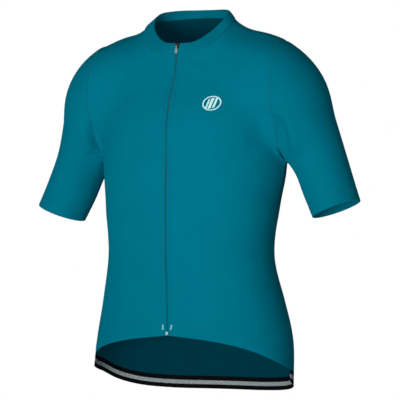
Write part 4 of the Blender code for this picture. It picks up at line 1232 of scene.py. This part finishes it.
BX, BZ, BA, BB, TILT = 0.0830, -0.1525, 0.0168, 0.0136, 0.10
def oval(f, n=64, grow=0.0):
    a = np.linspace(0, 2 * pi, n + 1)[:-1]
    x, z = (BA * f + grow) * np.cos(a), (BB * f + grow) * np.sin(a)
    return [(BX + p * cos(TILT) - q * sin(TILT), BZ + p * sin(TILT) + q * cos(TILT)) for p, q in zip(x, z)]
def bar(c, half, lean=0.35):
    """a slanted bar clipped to the oval's inner field"""
    a, b = BA * 0.76, BB * 0.76
    out = []
    for side in (1, -1):
        zs = np.linspace(-1, 1, 9) if side > 0 else np.linspace(1, -1, 9)
        for f in zs:
            # the bar's height is where its own edge meets the oval
            x_mid = c + side * half
            z = b * f * np.sqrt(max(0.02, 1 - (x_mid / a)**2)) * 0.96
            out.append((x_mid + lean * z, z))
    return [(BX + p * cos(TILT) - q * sin(TILT), BZ + p * sin(TILT) + q * cos(TILT)) for p, q in out]
parts = [plate('chest_badge.print', oval(1.0), 0.0002, 0.00005, M_PRINT, hole=oval(0.86))]
for i, (c_, hw) in enumerate(((-0.0072, 0.0016), (-0.0012, 0.0026), (0.0060, 0.0021))):
    parts.append(plate('badge_bar_%d' % i, bar(c_, hw), 0.0002, 0.00005, M_PRINT))
wear(joined('chest_badge.print', parts), 'badge_print', 'chest_badge')

# ------------------------------------------------------------------ what each piece of cloth was cut to
CUTS = [
    # piece          width  length  (metres, flat, before it was worn)  with
    ('front_left', 0.262, 0.640, ('front_left',)),
    ('front_right', 0.262, 0.640, ('front_right',)),
    ('back', 0.520, 0.690, ('back',)),
    ('sleeve_left', 0.400, 0.275, ('sleeve_left',)),
    ('sleeve_right', 0.400, 0.275, ('sleeve_right',)),
    ('collar', 0.420, 0.034, ('collar',)),
    ('hem_gripper', 0.490, 0.0235, ('band',)),
    ('rear_pocket', 0.345, 0.235, ('pocket',)),
]
for name, w, l, sewn in CUTS:
    ob, area = AREAS[name]

# ------------------------------------------------------------------ floor, light, camera
AZ = radians(26)
away, across = np.array([sin(AZ), -cos(AZ), 0]), np.array([cos(AZ), sin(AZ), 0])

me = bpy.data.meshes.new('floor')
R = 2.0
me.from_pydata([(R * cos(a), R * sin(a), -1.0) for a in np.linspace(0, 2 * pi, 129)[:-1]], [], [tuple(range(128))])
floor = bpy.data.objects.new('floor', me)
bpy.context.scene.collection.objects.link(floor)
m, t_, b = nodes_of('floor')
b.inputs['Base Color'].default_value = (0.45, 0.46, 0.47, 1)
b.inputs['Roughness'].default_value = 0.95
b.inputs['Specular IOR Level'].default_value = 0.0
me.materials.append(m)

world = bpy.data.worlds.new('studio')
bpy.context.scene.world = world
world.use_nodes = True
wt = world.node_tree
bg = wt.nodes['Background']
bg.inputs['Color'].default_value = (1, 1, 1, 1)
bg.inputs['Strength'].default_value = 0.12
bg2 = wt.nodes.new('ShaderNodeBackground')
bg2.inputs['Color'].default_value = (1, 1, 1, 1)
bg2.inputs['Strength'].default_value = 1.0
lp = wt.nodes.new('ShaderNodeLightPath')
mx = wt.nodes.new('ShaderNodeMixShader')
wt.links.new(lp.outputs['Is Camera Ray'], mx.inputs[0])
wt.links.new(bg.outputs[0], mx.inputs[1])
wt.links.new(bg2.outputs[0], mx.inputs[2])
wt.links.new(mx.outputs[0], wt.nodes['World Output'].inputs['Surface'])

CENTRE = np.array([0, 0, -0.33])


def area_light(name, turn, up, far, size, power):
    """a soft light `turn` degrees round from the front, `up` degrees above level"""
    a, u = radians(turn), radians(up)
    d = np.array([sin(a) * cos(u), -cos(a) * cos(u), sin(u)])
    li = bpy.data.lights.new(name, 'AREA')
    li.shape = 'DISK'
    li.size = size
    li.energy = power
    ob = bpy.data.objects.new(name, li)
    ob.location = Vector(CENTRE + d * far)
    ob.rotation_mode = 'QUATERNION'
    ob.rotation_quaternion = Vector(-d).to_track_quat('-Z', 'Y')
    bpy.context.scene.collection.objects.link(ob)


area_light('key', 3, -9, 4.0, 1.6, 146)
area_light('fill', 72, -4, 4.5, 2.4, 16)
area_light('top', 60, 62, 4.0, 2.2, 17)
area_light('rear', 206, 18, 4.5, 1.2, 90)

cam = bpy.data.cameras.new('camera')
cam.sensor_width = 36
cam.lens = 36 * 6.0 / 0.752
cam.clip_end = 100
ob = bpy.data.objects.new('camera', cam)
ob.location = Vector(away * 6.0 + across * 0.01316 + np.array([0, 0, -0.3309]))
ob.rotation_mode = 'QUATERNION'
ob.rotation_quaternion = Vector(-away).to_track_quat('-Z', 'Y')
bpy.context.scene.collection.objects.link(ob)
bpy.context.scene.camera = ob
bpy.context.scene.view_settings.view_transform = 'Standard'
